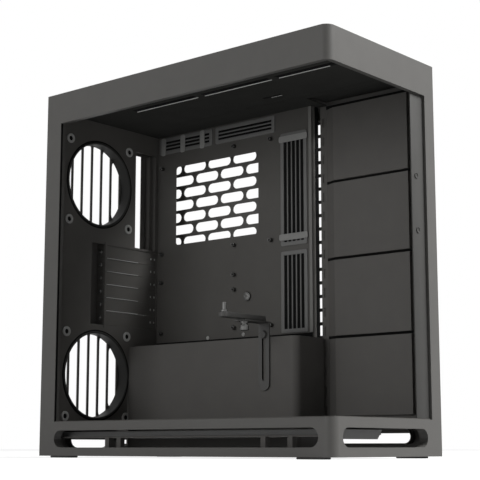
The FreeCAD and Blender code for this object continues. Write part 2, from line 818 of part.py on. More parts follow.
def make_lid():
    """Lid of the hood, with three columns of long slots."""
    left = LEFT + hood_rim + reveal
    right = RIGHT - hood_rim - reveal
    front = FRONT + hood_front_rim + reveal
    rear = REAR - hood_rim - reveal
    plate = box("lid_plate", (left, right), (front, rear), (height - shell, height))
    margin = lid_slot_margin + hood_ledge
    across = right - left - margin * 2
    count = int(across.number // lid_slot_pitch.number) + 1
    spare = (across - lid_slot_pitch * (count - 1) - lid_slot_width) / 2
    along = (rear - front - margin * 2 - lid_web * (lid_columns - 1)) / lid_columns
    slots = []
    for column in range(lid_columns):
        start = front + margin + (along + lid_web) * column
        for index in range(count):
            low = left + margin + spare + lid_slot_pitch * index
            slots.append(
                box(
                    f"lid_slot_{column}_{index}",
                    (low, low + lid_slot_width),
                    (start, start + along),
                    (height - shell - overcut, height + overcut),
                )
            )
    keep("top_vent_panel", cut("top_vent_panel_solid", plate, *slots))


def brick_outline(center_y, center_z, x, length):
    """Wire of one slot: a long octagon that stands for a slot with round ends."""
    half_length = length / 2
    half_height = brick_height.number / 2
    chamfer = brick_chamfer.number
    quarter = ((half_length, half_height - chamfer), (half_length - chamfer, half_height))
    corners = []
    for sign_y, sign_z, order in ((1, 1, 1), (-1, 1, -1), (-1, -1, 1), (1, -1, -1)):
        for along, up in quarter[::order]:
            corners.append(FreeCAD.Vector(x, center_y + sign_y * along, center_z + sign_z * up))
    return Part.makePolygon(corners + corners[:1])


def make_side_panel():
    """Right side panel: rows of slots, each row half a pitch on from the last."""
    low_y = FRONT + side_post_width + reveal
    high_y = REAR - side_post_width - reveal
    zs = (skirt_top, hood_bottom - reveal)
    plate = box("side_panel_plate", (RIGHT - shell, RIGHT), (low_y, high_y), zs)
    x = (RIGHT - shell - overcut).number
    thickness = (shell + overcut * 2).number
    length = brick_length.number
    pitch = brick_pitch_along.number
    web = pitch - length
    rise = brick_pitch_up.number
    field_y = (high_y - low_y).number - brick_side_margin.number * 2
    field_z = (zs[1] - zs[0]).number - brick_end_margin.number * 2
    columns = int((field_y + web) // pitch)
    rows = int((field_z - brick_height.number) // rise) + 1
    middle_y = (low_y.number + high_y.number) / 2
    middle_z = (zs[0].number + zs[1].number) / 2
    half_brick = (length - web) / 2
    end_y = (columns * pitch - web - half_brick) / 2
    bricks = []
    for row in range(rows):
        in_row = columns - 1 + row % 2
        spots = [((column - (in_row - 1) / 2) * pitch, length) for column in range(in_row)]
        if in_row < columns:
            spots += [(-end_y, half_brick), (end_y, half_brick)]
        center_z = middle_z + (row - (rows - 1) / 2) * rise
        for offset, brick in spots:
            face = Part.Face(brick_outline(middle_y + offset, center_z, x, brick))
            bricks.append(face.extrude(FreeCAD.Vector(thickness, 0, 0)))
    cutter = DOC.addObject("Part::Feature", "side_panel_bricks")
    cutter.Shape = Part.makeCompound(bricks)
    keep("right_side_panel", cut("right_side_panel_solid", plate, cutter))


def fan_points():
    """Centres of the two rear fans."""
    return (("upper", fan_upper_z), ("lower", fan_lower_z))


def fan_screws(center_z):
    """The four screw places of one fan."""
    half = fan_hole_spacing / 2
    return [
        (fan_center_x + half * sign_x, center_z + half * sign_z) for sign_x in (-1, 1) for sign_z in (-1, 1)
    ]


def psu_cutters(name, ys):
    """Window of the power supply: a rectangle whose corners stay as screw tabs."""
    half_x = psu_window_x / 2
    half_z = psu_window_z / 2
    tall = box(
        name + "_tall",
        (psu_center_x - half_x + psu_tab, psu_center_x + half_x - psu_tab),
        ys,
        (psu_center_z - half_z, psu_center_z + half_z),
    )
    wide = box(
        name + "_wide",
        (psu_center_x - half_x, psu_center_x + half_x),
        ys,
        (psu_center_z - half_z + psu_tab, psu_center_z + half_z - psu_tab),
    )
    return tall, wide


def make_rear_wall():
    """Inner back wall with its openings, and the side flange at its left edge."""
    ys = (WALL_Y, WALL_BACK)
    left = LEFT + rear_wall_left
    beside = box("rear_wall_beside", (left, psu_wall_left), ys, (FLOOR, ceiling_level))
    above = box("rear_wall_above", (psu_wall_left, RIGHT - rear_wall_right), ys, (shroud_top, ceiling_level))
    flange_ys = (WALL_Y, WALL_Y + rear_wall_flange)
    flange = box("rear_wall_flange", (left, left + sheet), flange_ys, (FLOOR, ceiling_level))
    body = fuse("rear_wall_sheet", beside, above, flange)
    through = (WALL_Y - overcut, WALL_BACK + overcut)
    span = sheet + overcut * 2
    tools = []
    for name, center_z in fan_points():
        center = (fan_center_x, through[0], center_z)
        radius = fan_hole_radius + fan_ring_gap
        tools.append(prism(f"{name}_fan_hole", "Y", center, radius, span, WIDE_ROUND_SIDES))
        for index, (x, z) in enumerate(fan_screws(center_z)):
            spot = (x, through[0], z)
            tools.append(cylinder(f"{name}_fan_screw_{index}", "Y", spot, fan_screw_radius, span))
    tools.append(
        box("port_opening", (port_left, port_left + port_width), through, (port_low, port_low + port_height))
    )
    access = slot_left - slot_bar_width - slot_access
    stack = (slot_low - slot_rim, slot_top + slot_rim)
    tools.append(box("slot_opening", (access, slot_right + slot_rim), through, stack))
    keep("rear_wall", cut("rear_wall_solid", body, *tools))


def make_psu_wall():
    """Back plate of the power-supply bay, with the supply's window and its screw holes."""
    ys = (WALL_Y, WALL_BACK)
    plate = box("psu_wall_plate", (psu_wall_left, RIGHT - shell), ys, (psu_floor, shroud_top))
    foot = box("psu_wall_foot", (shroud_face, psu_wall_left), ys, (psu_floor, FLOOR))
    through = (WALL_Y - overcut, WALL_BACK + overcut)
    span = sheet + overcut * 2
    tools = list(psu_cutters("wall_psu", through))
    for sign_x in (-1, 1):
        for sign_z in (-1, 1):
            x = psu_center_x + psu_hole_x / 2 * sign_x
            z = psu_center_z + psu_hole_z / 2 * sign_z
            name = f"psu_screw_{sign_x + 1}_{sign_z + 1}"
            tools.append(cylinder(name, "Y", (x, through[0], z), psu_screw_radius, span))
    keep("psu_wall", cut("psu_wall_solid", fuse("psu_wall_sheet", plate, foot), *tools))


def make_rear_panel():
    """Outer back: fan grilles of upright slots, windows for ports, cards and supply, and the port jamb."""
    left = LEFT + rear_post_return
    right = RIGHT - rear_right_return
    ys = (REAR - shell, REAR)
    plate = box("rear_panel_plate", (left, right), ys, (skirt_top, hood_bottom))
    through = (REAR - shell - overcut, REAR + overcut)
    tools = []
    for name, center_z in fan_points():
        for index in range(grille_slots):
            offset = grille_pitch * (index - (grille_slots - 1) / 2)
            half = (grille_radius.number ** 2 - offset.number ** 2) ** 0.5 / grille_radius.number
            reach = grille_radius * half
            x = fan_center_x + offset
            tools.append(
                pill(
                    f"{name}_grille_{index}",
                    "Y",
                    (x - grille_slot / 2, x + grille_slot / 2),
                    through,
                    (center_z - reach, center_z + reach),
                )
            )
    port_right = port_left + port_width
    port_inner = port_right - port_jog
    port_zs = (port_low, port_low + port_height)
    tools.append(box("panel_ports", (port_left - slot_rim, port_inner - port_lip), through, port_zs))
    slot_zs = (slot_low + slot_rim, slot_top - slot_rim)
    tools.append(box("panel_slots", (slot_left, port_right), through, slot_zs))
    tools.append(
        box(
            "panel_psu",
            (psu_center_x - psu_window_x / 2, psu_center_x + psu_window_x / 2),
            through,
            (skirt_top - overcut, psu_center_z + psu_window_z / 2),
        )
    )
    keep("rear_panel", cut("rear_panel_solid", plate, *tools))
    jog_y = WALL_BACK + port_jamb
    jamb = (
        box("jamb_front", (port_right, port_right + sheet), (WALL_BACK, jog_y + sheet), port_zs),
        box("jamb_jog", (port_inner, port_right), (jog_y, jog_y + sheet), port_zs),
        box("jamb_rear", (port_inner, port_inner + sheet), (jog_y + sheet, REAR - shell), port_zs),
    )
    keep("port_jamb", fuse("port_jamb_solid", *jamb))


def make_fan_rings():
    """Rolled rings in the fan holes, back to the outer panel, and the screw pads round them."""
    front = WALL_Y - fan_ring_front
    pad_front = WALL_Y - fan_pad_height
    length = REAR - shell - front
    pads = []
    for name, center_z in fan_points():
        spot = (fan_center_x, front, center_z)
        outer = prism(f"{name}_ring_outer", "Y", spot, fan_hole_radius, length, WIDE_ROUND_SIDES)
        spot = (fan_center_x, front - overcut, center_z)
        span = length + overcut * 2
        inner = prism(f"{name}_ring_inner", "Y", spot, fan_ring_inner, span, WIDE_ROUND_SIDES)
        keep(f"{name}_fan_ring", cut(f"{name}_fan_ring_solid", outer, inner))
        for index, (x, z) in enumerate(fan_screws(center_z)):
            pad = prism(f"{name}_pad_{index}", "Y", (x, pad_front, z), fan_pad_radius, fan_pad_height)
            spot = (x, pad_front - overcut, z)
            span = fan_pad_height + overcut * 2
            hole = prism(f"{name}_pad_hole_{index}", "Y", spot, fan_screw_radius, span, SCREW_SIDES)
            pads.append(cut(f"{name}_pad_ring_{index}", pad, hole))
    keep("fan_mount_grommets", gather("fan_mount_grommets_group", pads))


def make_slots():
    """Expansion slots: ledge behind the wall, bar in front, six covers and their screws."""
    bar_left = slot_left - slot_bar_width
    ledge_front = WALL_BACK + reveal + sheet
    ledge_zs = (slot_low - slot_pitch / 2, slot_top + slot_rim * 2)
    ledge_xs = (bar_left + sheet, bar_left + sheet * 2)
    keep("slot_ledge", box("slot_ledge_plate", ledge_xs, (ledge_front, REAR - shell), ledge_zs))
    bar_zs = (slot_low - slot_pitch / 4, slot_top + slot_pitch / 4)
    keep("slot_bar", box("slot_bar_solid", (bar_left, slot_left), (WALL_Y - sheet, WALL_Y), bar_zs))
    screws = []
    for index in range(slot_count):
        top = slot_top - slot_pitch * index - slot_gap / 2
        bottom = top - slot_pitch + slot_gap
        ys = (WALL_BACK, WALL_BACK + sheet)
        tab_right = bar_left + sheet - close_fit
        tab_left = tab_right - sheet
        plate = box(f"cover_plate_{index}", (tab_left, slot_right + slot_foot), ys, (bottom, top))
        tab_ys = (WALL_BACK, WALL_BACK + sheet + slot_tab)
        tab = box(f"cover_tab_{index}", (tab_left, tab_right), tab_ys, (bottom, top))
        parts = [plate, tab]
        if index < slot_count - 1:
            parts.append(
                box(
                    f"cover_bead_{index}",
                    (slot_left + slot_rim, slot_left + slot_rim + slot_bead_length),
                    (WALL_BACK - slot_bead_depth, WALL_BACK),
                    (bottom, bottom + slot_bead_height),
                )
            )
        keep(f"slot_cover_{index + 1}", fuse(f"slot_cover_{index + 1}_solid", *parts))
        spot = (tab_left - slot_screw_head, WALL_BACK + sheet + slot_tab / 2, (top + bottom) / 2)
        name = f"slot_screw_{index}"
        screws.append(prism(name, "X", spot, slot_screw_radius, slot_screw_head, SCREW_SIDES))
    keep("slot_screws", gather("slot_screws_group", screws))


def make_shroud():
    """Low box over the power supply, open to the right, back and below, with a tab for the support."""
    rear = WALL_Y - shroud_rear_gap
    zs = (psu_floor, shroud_top)
    right = tray_face + sheet

    def rounded(name, inset, bounds_z, far_x, far_y):
        x = shroud_face + inset
        y = shroud_front + inset
        radius = shroud_radius - inset
        whole = box(name + "_box", (x, far_x), (y, far_y), bounds_z)
        block = box(name + "_corner", (x - overcut, x + radius), (y - overcut, y + radius), bounds_z)
        round_part = cylinder(
            name + "_round", "Z", (x + radius, y + radius, bounds_z[0]), radius, bounds_z[1] - bounds_z[0]
        )
        return cut(name, whole, cut(name + "_waste", block, round_part))

    outer = rounded("shroud_outer", as_size(0), zs, right, rear)
    inner_zs = (psu_floor - overcut, shroud_top - sheet)
    inner = rounded("shroud_inner", sheet, inner_zs, right + overcut, rear + overcut)
    tab = box(
        "shroud_tab",
        (shroud_face, shroud_face + sheet),
        (support_y - shroud_tab_width / 2, support_y + shroud_tab_width / 2),
        (shroud_top - sheet, shroud_top + shroud_tab_height),
    )
    keep("psu_shroud", fuse("psu_shroud_solid", cut("shroud_box", outer, inner), tab))


def grommet_spans():
    """Outline of each cable grommet on the tray, with its slit direction and slit count."""
    return {
        "cable_grommet_top_rear": (
            (top_rear_grommet_front, top_rear_grommet_rear),
            (top_grommet_low, top_grommet_high),
            "Y",
            top_grommet_slits,
        ),
        "cable_grommet_top_front": (
            (top_front_grommet_front, top_front_grommet_rear),
            (top_grommet_low, top_grommet_high),
            "Y",
            top_grommet_slits,
        ),
        "cable_grommet_side_upper": (
            (side_grommet_front, side_grommet_rear),
            (side_upper_low, side_upper_high),
            "Z",
            side_grommet_slits,
        ),
        "cable_grommet_side_lower": (
            (side_grommet_front, side_grommet_rear),
            (side_lower_low, side_lower_high),
            "Z",
            side_grommet_slits,
        ),
    }


def make_tray():
    """Motherboard tray with a rolled front edge and openings for the cooler and the cables."""
    zs = (shroud_top, ceiling_level)
    plate = box("tray_plate", (tray_face, tray_face + sheet), (tray_front, WALL_Y), zs)
    roll_x = tray_face + tray_roll
    span = ceiling_level - shroud_top
    roll_outer = cylinder("tray_roll_outer", "Z", (roll_x, tray_front, shroud_top), tray_roll, span)
    roll_base = (roll_x, tray_front, shroud_top - overcut)
    roll_inner = cylinder("tray_roll_inner", "Z", roll_base, tray_roll - sheet, span + overcut * 2)
    quarter = box("tray_roll_quarter", (tray_face, roll_x), (tray_front - tray_roll, tray_front), zs)
    roll = common("tray_roll_bend", cut("tray_roll_tube", roll_outer, roll_inner), quarter)
    lip_ys = (tray_front - tray_roll, tray_front - tray_roll + sheet)
    lip = box("tray_roll_lip", (roll_x, roll_x + tray_return), lip_ys, zs)
    whole = fuse("tray_sheet", plate, roll, lip)
    through = (tray_face - overcut, tray_face + sheet + overcut)
    cooler = box("cooler_box", through, (cpu_front, cpu_rear), (cpu_low, cpu_high))
    tools = [soften_edges("cooler_opening", cooler, "X", cpu_radius)]
    for name, (ys, zs_span, _, _) in grommet_spans().items():
        inner_ys = (ys[0] + grommet_rim / 2, ys[1] - grommet_rim / 2)
        inner_zs = (zs_span[0] + grommet_rim / 2, zs_span[1] - grommet_rim / 2)
        tools.append(box(name + "_opening", through, inner_ys, inner_zs))
    keep("motherboard_tray", cut("motherboard_tray_solid", whole, *tools))


def make_grommets():
    """Rubber frames with grooved flaps, on the face of the tray, and the straps over them."""
    face = tray_face - grommet_depth
    for name, (ys, zs, run, count) in grommet_spans().items():
        plate = box(name + "_plate", (face, tray_face), ys, zs)
        along, across = (ys, zs) if run == "Y" else (zs, ys)
        room = across[1] - across[0] - grommet_rim * 2
        slit = (room - grommet_web * (count - 1)) / count
        tools = []
        for index in range(count):
            low = across[0] + grommet_rim + (slit + grommet_web) * index
            narrow = (low, low + slit)
            wide = (along[0] + grommet_rim, along[1] - grommet_rim)
            slit_ys, slit_zs = (wide, narrow) if run == "Y" else (narrow, wide)
            slit_xs = (face - overcut, tray_face - grommet_skin)
            tools.append(box(f"{name}_slit_{index}", slit_xs, slit_ys, slit_zs))
        keep(name, cut(name + "_solid", plate, *tools))
    strap_xs = (face - strap_thickness, face)
    half = strap_width / 2
    uprights = []
    for index in range(top_strap_count):
        y = top_rear_grommet_rear - top_strap_setback - top_strap_pitch * index
        zs = (top_grommet_low - strap_over, top_grommet_high)
        uprights.append(box(f"top_strap_{index}", strap_xs, (y - half, y + half), zs))
    keep("top_straps", gather("top_straps_group", uprights))
    ys = (side_grommet_front - strap_over, side_grommet_rear + strap_over)
    bands = [
        box(f"side_strap_{index}", strap_xs, ys, (z - half, z + half))
        for index, z in enumerate((side_upper_high - side_strap_drop, side_upper_low + side_strap_lift))
    ]
    keep("side_straps", gather("side_straps_group", bands))


def make_standoffs():
    """Board standoffs at the full-size and the smaller board's holes, and the thumbscrew below."""
    rear = board_rear_column
    middle = board_rear_column - board_middle_step
    top = board_top_row
    spots = [
        (rear, top - board_rear_drop),
        (rear, top - board_middle_drop),
        (rear, top - board_small_drop - board_small_extra),
        (rear, top - board_bottom_drop),
    ]
    for column in (middle, board_front_column):
        spots += [(column, top), (column, top - board_middle_drop), (column, top - board_bottom_drop)]
    spots += [(middle, top - board_small_drop - board_small_extra * step) for step in (1, 2)]
    face = tray_face - standoff_length
    posts = [
        prism(f"standoff_{index}", "X", (face, y, z), standoff_radius, standoff_length, STANDOFF_SIDES)
        for index, (y, z) in enumerate(spots)
    ]
    keep("standoffs", gather("standoffs_group", posts))
    spot = (tray_face - thumb_height, board_rear_column - thumb_step, board_top_row - thumb_drop)
    keep("tray_thumbscrew", prism("thumb_head", "X", spot, thumb_radius, thumb_height))


def make_support():
    """Graphics-card support: slotted bracket, clamp screw, swivelling arm, thumb nut and post."""
    back = shroud_face - running_gap
    face = back - bracket_thickness
    profile = [
        (back, bracket_low),
        (back, bracket_top),
        (bracket_reach, bracket_top),
        (bracket_reach, bracket_top - bracket_thickness),
        (face, bracket_top - bracket_thickness),
        (face, bracket_low),
    ]
    half = bracket_width / 2
    bend = padded("bracket_bend", "XZ_Plane", profile, -support_y - half, bracket_width)
    bound = pill(
        "bracket_bound",
        "X",
        (bracket_reach - overcut, back + overcut),
        (support_y - half, support_y + half),
        (bracket_low, bracket_top + bracket_width),
    )
    rounded = common("bracket_rounded", bend, bound)
    slot_half = bracket_slot_width / 2
    slot = pill(
        "bracket_slot",
        "X",
        (face - overcut, back + overcut),
        (support_y - slot_half, support_y + slot_half),
        (bracket_slot_low, bracket_slot_high),
    )
    bore = cylinder(
        "bracket_bore",
        "Z",
        (pivot_x, support_y, bracket_top - bracket_thickness - overcut),
        pivot_radius,
        bracket_thickness + overcut * 2,
    )
    keep("gpu_bracket", cut("gpu_bracket_solid", rounded, slot, bore))

    head_left = face - running_gap - clamp_head_height
    spot = (head_left, support_y, clamp_z)
    head = prism("clamp_head_disc", "X", spot, clamp_head, clamp_head_height)
    shank = prism("clamp_shank_rod", "X", spot, clamp_shank, shroud_face - head_left, SCREW_SIDES)
    keep("clamp_screw", fuse("clamp_screw_solid", head, shank))

    arm_low = bracket_top + running_gap
    arm_half = arm_width / 2
    blank = pill(
        "arm_blank",
        "Z",
        (arm_post_x - arm_half, arm_right),
        (support_y - arm_half, support_y + arm_half),
        (arm_low, arm_low + arm_height),
    )
    arm_bore = cylinder(
        "arm_bore",
        "Z",
        (pivot_x, support_y, arm_low - overcut),
        pivot_radius + pivot_fit,
        arm_height + overcut * 2,
    )
    keep("gpu_arm", cut("gpu_arm_solid", blank, arm_bore))

    leg_low = bracket_top - bracket_thickness
    arm_top = arm_low + arm_height
    nut_low = leg_low - knob_height
    neck_low = leg_low - knob_flange * 2
    flange_low = leg_low - knob_flange
    nut = fuse(
        "gpu_knob_solid",
        prism("knob_grip", "Z", (pivot_x, support_y, nut_low), knob_radius, neck_low - nut_low),
        prism("knob_waist", "Z", (pivot_x, support_y, neck_low), knob_neck, knob_flange),
        prism("knob_collar", "Z", (pivot_x, support_y, flange_low), knob_radius, knob_flange),
        cylinder("knob_stud", "Z", (pivot_x, support_y, flange_low), pivot_radius, arm_top - flange_low),
    )
    keep("gpu_knob", nut)
    post = fuse(
        "support_post_solid",
        prism("post_foot", "Z", (arm_post_x, support_y, arm_top), post_collar, post_collar_height),
        prism("post_rod", "Z", (arm_post_x, support_y, arm_top), post_radius, post_height),
    )
    keep("support_post", post)


def make_side_rack():
    """Rack of the side fans, with a perforated edge, and the four blank covers on it."""
    xs = (rack_face, rack_face + sheet)
    plate = box("rack_plate", xs, (rack_front, rack_rear), (FLOOR, rack_top))
    through = (rack_face - overcut, rack_face + sheet + overcut)
    tools = []
    count = int((rack_top.number - FLOOR.number) // rack_hole_pitch.number)
    for index in range(count):
        low = FLOOR + rack_hole_pitch * (index + 0.5) - rack_hole_height / 2
        ys = (rack_hole_y - rack_hole_width / 2, rack_hole_y + rack_hole_width / 2)
        tools.append(box(f"rack_hole_{index}", through, ys, (low, low + rack_hole_height)))
    window_ys = (cover_front + rack_rim_along, cover_bend - rack_rim_along)
    for index in range(cover_count):
        low = cover_first + cover_pitch * index
        window_zs = (low + rack_rim_up, low + cover_pitch - rack_rim_up)
        tools.append(box(f"rack_window_{index}", through, window_ys, window_zs))
    keep("side_fan_bracket", cut("side_fan_bracket_solid", plate, *tools))
    inner = cover_face + sheet
    profile = [
        (rack_face, cover_front),
        (cover_face, cover_front),
        (cover_face, cover_bend),
        (rack_face, cover_rear),
        (rack_face, cover_rear - sheet * 2),
        (inner, cover_bend - sheet),
        (inner, cover_front + sheet),
        (rack_face, cover_front + sheet),
    ]
    for index in range(cover_count):
        low = cover_first + cover_pitch * (cover_count - 1 - index) + cover_gap / 2
        name = f"fan_cover_{index + 1}"
        keep(name, padded(name + "_body", "XY_Plane", profile, low, cover_pitch - cover_gap))


def make_ceiling():
    """Ceiling sheet that carries the top fans, with a row of long slots on each side."""
    zs = (ceiling_level, CEILING_TOP)
    left = LEFT + ceiling_left
    front = FRONT + seat_recess
    plate = box("ceiling_plate", (left, -left), (front, WALL_BACK), zs)
    through = (ceiling_level - overcut, CEILING_TOP + overcut)
    gap_xs = (RIGHT - ceiling_gap_inset, -left + overcut)
    tools = [box("ceiling_gap", gap_xs, (front + seat_width, shroud_front), through)]
    lips = []
    for side in (-1, 1):
        for index in range(ceiling_slot_count):
            start = FRONT + ceiling_slot_start + ceiling_slot_pitch * index
            ys = (start, start + ceiling_slot_length)
            inner = ceiling_slot_x * side
            outer = (ceiling_slot_x + ceiling_slot_width) * side
            xs = (outer, inner) if side < 0 else (inner, outer)
            tools.append(box(f"ceiling_slot_{side + 1}_{index}", xs, ys, through))
            lip_xs = (inner, inner + sheet) if side < 0 else (inner - sheet, inner)
            lip_zs = (CEILING_TOP, CEILING_TOP + ceiling_slot_lip)
            lips.append(box(f"ceiling_lip_{side + 1}_{index}", lip_xs, ys, lip_zs))
    open_plate = cut("ceiling_open", plate, *tools)
    keep("top_fan_bracket", fuse("top_fan_bracket_solid", open_plate, *lips))


def make_filter():
    """Pull-out floor filter: frame with a cross bar and a pull tab, mesh, and the two runners."""
    xs = (filter_left, filter_right)
    ys = (filter_front, filter_rear)
    zs = (filter_low, filter_high)
    blank = box("filter_blank", xs, ys, zs)
    middle = (filter_front + filter_rear) / 2
    through = (filter_low - overcut, filter_high + overcut)
    inner_xs = (xs[0] + filter_bar, xs[1] - filter_bar)
    windows = [
        box("filter_window_front", inner_xs, (filter_front + filter_bar, middle - filter_bar / 2), through),
        box("filter_window_rear", inner_xs, (middle + filter_bar / 2, filter_rear - filter_bar), through),
    ]
    frame = cut("filter_open_frame", blank, *windows)
    tab_profile = [
        (filter_left, filter_high),
        (filter_left, filter_tab_low),
        (filter_right - filter_tab_slope, filter_tab_low),
        (filter_right, filter_high),
    ]
    tab = padded("filter_tab", "XZ_Plane", tab_profile, -filter_front, filter_tab_thickness)
    keep("filter_frame", fuse("filter_frame_solid", frame, tab))
    mesh_low = (filter_low + filter_high) / 2 - filter_mesh_thickness / 2
    sheets = []
    for name, (low, high) in (
        ("front", (filter_front + filter_bar, middle - filter_bar / 2)),
        ("rear", (middle + filter_bar / 2, filter_rear - filter_bar)),
    ):
        sheets.append(
            box(f"filter_mesh_{name}", inner_xs, (low, high), (mesh_low, mesh_low + filter_mesh_thickness))
        )
    keep("filter_mesh", gather("filter_mesh_group", sheets))

    rail_top = filter_low - running_gap
    rail_zs = (rail_top - rail_thickness, rail_top)
    rail_ys = (filter_front + running_gap, filter_rear)
    rail_left = LEFT + skirt_bottom_flange - rail_leg
    left_strip = box("rail_left_strip", (rail_left, filter_left + rail_width), rail_ys, rail_zs)
    leg_zs = (foot_height + shell, rail_zs[1])
    leg_xs = (rail_left, rail_left + rail_leg)
    legs = [
        box(f"rail_leg_{index}", leg_xs, (y - rail_leg / 2, y + rail_leg / 2), leg_zs)
        for index, y in enumerate(RAIL_LEGS)
    ]
    keep("filter_rail_left", fuse("filter_rail_left_solid", left_strip, *legs))
    right_xs = (filter_right - rail_width, shroud_face)
    right_ys = (shroud_front + shroud_radius, WALL_Y - shroud_rear_gap)
    keep("filter_rail_right", box("filter_rail_right_solid", right_xs, right_ys, rail_zs))


def port_cutters(name, zs):
    """Openings for the button and the ports in the hood's top."""
    y = FRONT + hood_front_rim / 2
    low, high = zs
    radius = button_radius + running_gap
    tools = [prism(name + "_button", "Z", (button_x, y, low), radius, high - low, BUTTON_SIDES)]
    for index in range(usb_count):
        x = usb_first_x - usb_pitch * index
        usb_ys = (y - usb_height / 2, y + usb_height / 2)
        tools.append(box(f"{name}_usb_{index}", (x - usb_width / 2, x + usb_width / 2), usb_ys, zs))
    x = usb_first_x - usb_pitch * usb_count
    usb_c_ys = (y - usb_c_height / 2, y + usb_c_height / 2)
    tools.append(pill(name + "_usb_c", "Z", (x - usb_c_width / 2, x + usb_c_width / 2), usb_c_ys, zs))
    x = usb_first_x - usb_pitch * usb_count - jack_step
    tools.append(prism(name + "_jack", "Z", (x, y, low), jack_radius, high - low, SCREW_SIDES))
    return tools


def make_front_ports():
    """Port module under the hood's top, with the power button and the port sockets."""
    y = FRONT + hood_front_rim / 2
    top = height - shell * 2
    low = top - module_height
    body_ys = (y - module_depth / 2, y + module_depth / 2)
    body = box("module_body", (module_left, module_right), body_ys, (low, top))
    cutters = port_cutters("module_port", (top - port_depth, top + overcut))
    keep("io_module", cut("io_module_solid", body, *cutters))
    cap_low = top - port_depth + button_travel + running_gap
    spot = (button_x, y, cap_low)
    keep("power_button", prism("button_cap", "Z", spot, button_radius, height - cap_low, BUTTON_SIDES))
    tongue = port_wall * 2
    sockets = []
    base = top - port_depth
    for index in range(usb_count):
        x = usb_first_x - usb_pitch * index
        sockets.append(
            box(
                f"usb_tongue_{index}",
                (x - usb_width / 2 + tongue, x + usb_width / 2 - tongue),
                (y, y + tongue),
                (base, height - shell),
            )
        )
    x = usb_first_x - usb_pitch * usb_count
    sockets.append(
        box(
            "usb_c_tongue",
            (x - usb_c_width / 2 + tongue, x + usb_c_width / 2 - tongue),
            (y - port_wall / 2, y + port_wall / 2),
            (base, height - shell),
        )
    )
    x = usb_first_x - usb_pitch * usb_count - jack_step
    barrel = prism("jack_barrel", "Z", (x, y, base), jack_radius, height - base, SCREW_SIDES)
    bore_radius = jack_radius - tongue
    spot = (x, y, base + port_wall)
    barrel_hole = prism("jack_hole", "Z", spot, bore_radius, height - base, SCREW_SIDES)
    sockets.append(cut("jack_socket", barrel, barrel_hole))
    keep("io_ports", gather("io_ports_group", sockets))


def check_and_export():
    """Recompute, check every object and shape, and write one STEP file for each sub-part."""
    DOC.recompute()
    for obj in DOC.Objects:
        if "Invalid" in obj.State or "Error" in obj.State:
            raise RuntimeError(f"{obj.Name} failed: {obj.State}")
    os.makedirs("parts", exist_ok=True)
    for label, obj in NODES.items():
        shape = obj.Shape
        if shape.isNull() or not shape.isValid() or not shape.Solids:
            raise RuntimeError(f"{label} has no valid solid")
    for label, obj in NODES.items():
        obj.Shape.exportStep(f"parts/{label}.step")
        print(f"{label}: {len(obj.Shape.Solids)} solid(s), {obj.Shape.Volume:.0f} mm3")


make_skirt()
make_feet()
make_floor()
make_posts()
make_hood()
make_lid()
make_side_panel()
make_rear_wall()
make_psu_wall()
make_rear_panel()
make_fan_rings()
make_slots()
make_shroud()
make_tray()
make_grommets()
make_standoffs()
make_support()
make_side_rack()
make_ceiling()
make_filter()
make_front_ports()
check_and_export()
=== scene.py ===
"""Dresses the tower computer case: coats, rubber, tape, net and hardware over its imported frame."""

import json
import logging
import math
from dataclasses import dataclass
from enum import Enum

import bmesh
import bpy
import numpy as np
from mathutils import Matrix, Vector


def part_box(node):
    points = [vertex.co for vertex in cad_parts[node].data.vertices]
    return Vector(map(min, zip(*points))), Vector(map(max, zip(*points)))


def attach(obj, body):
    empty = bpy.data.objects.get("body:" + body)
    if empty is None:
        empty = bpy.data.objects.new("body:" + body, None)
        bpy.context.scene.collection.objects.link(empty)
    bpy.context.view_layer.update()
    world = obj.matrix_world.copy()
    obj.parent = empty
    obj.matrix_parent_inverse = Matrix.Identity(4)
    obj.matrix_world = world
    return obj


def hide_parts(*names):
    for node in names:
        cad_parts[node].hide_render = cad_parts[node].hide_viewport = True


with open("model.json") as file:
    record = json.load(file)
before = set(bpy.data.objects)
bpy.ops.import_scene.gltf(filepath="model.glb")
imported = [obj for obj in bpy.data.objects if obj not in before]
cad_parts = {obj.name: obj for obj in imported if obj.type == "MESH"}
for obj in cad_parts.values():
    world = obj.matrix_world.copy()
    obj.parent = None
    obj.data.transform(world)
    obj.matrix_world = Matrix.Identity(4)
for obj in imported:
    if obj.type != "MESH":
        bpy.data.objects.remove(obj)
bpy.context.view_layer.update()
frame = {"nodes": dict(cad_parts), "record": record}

Array = np.ndarray
Colour = tuple[float, float, float]
Point = tuple[float, float, float]
Place = Point | Array
Socket = bpy.types.NodeSocket
LOG = logging.getLogger("case")
MM = 0.001
DECIMALS = 6
SHARP_ANGLE = 38.0
WELD = 1e-7
SLIVER = 1e-8
DUST_COLOUR = (0.42, 0.4, 0.37, 1.0)


class Axis(Enum):
    """Direction in which a piece's height runs, as the three unit vectors U, V and W = U x V."""

    LEFT = ((0, 0, 1), (0, 1, 0), (-1, 0, 0))
    RIGHT = ((0, 1, 0), (0, 0, 1), (1, 0, 0))
    FRONT = ((1, 0, 0), (0, 0, 1), (0, -1, 0))
    UP = ((1, 0, 0), (0, 1, 0), (0, 0, 1))
    DOWN = ((0, 1, 0), (1, 0, 0), (0, 0, -1))

    def basis(self) -> Array:
        """Rows are U, V and W."""
        return np.array(self.value, float)


class Drive(Enum):
    """Recess in a screw head."""

    CROSS = "cross"
    SLOT = "slot"


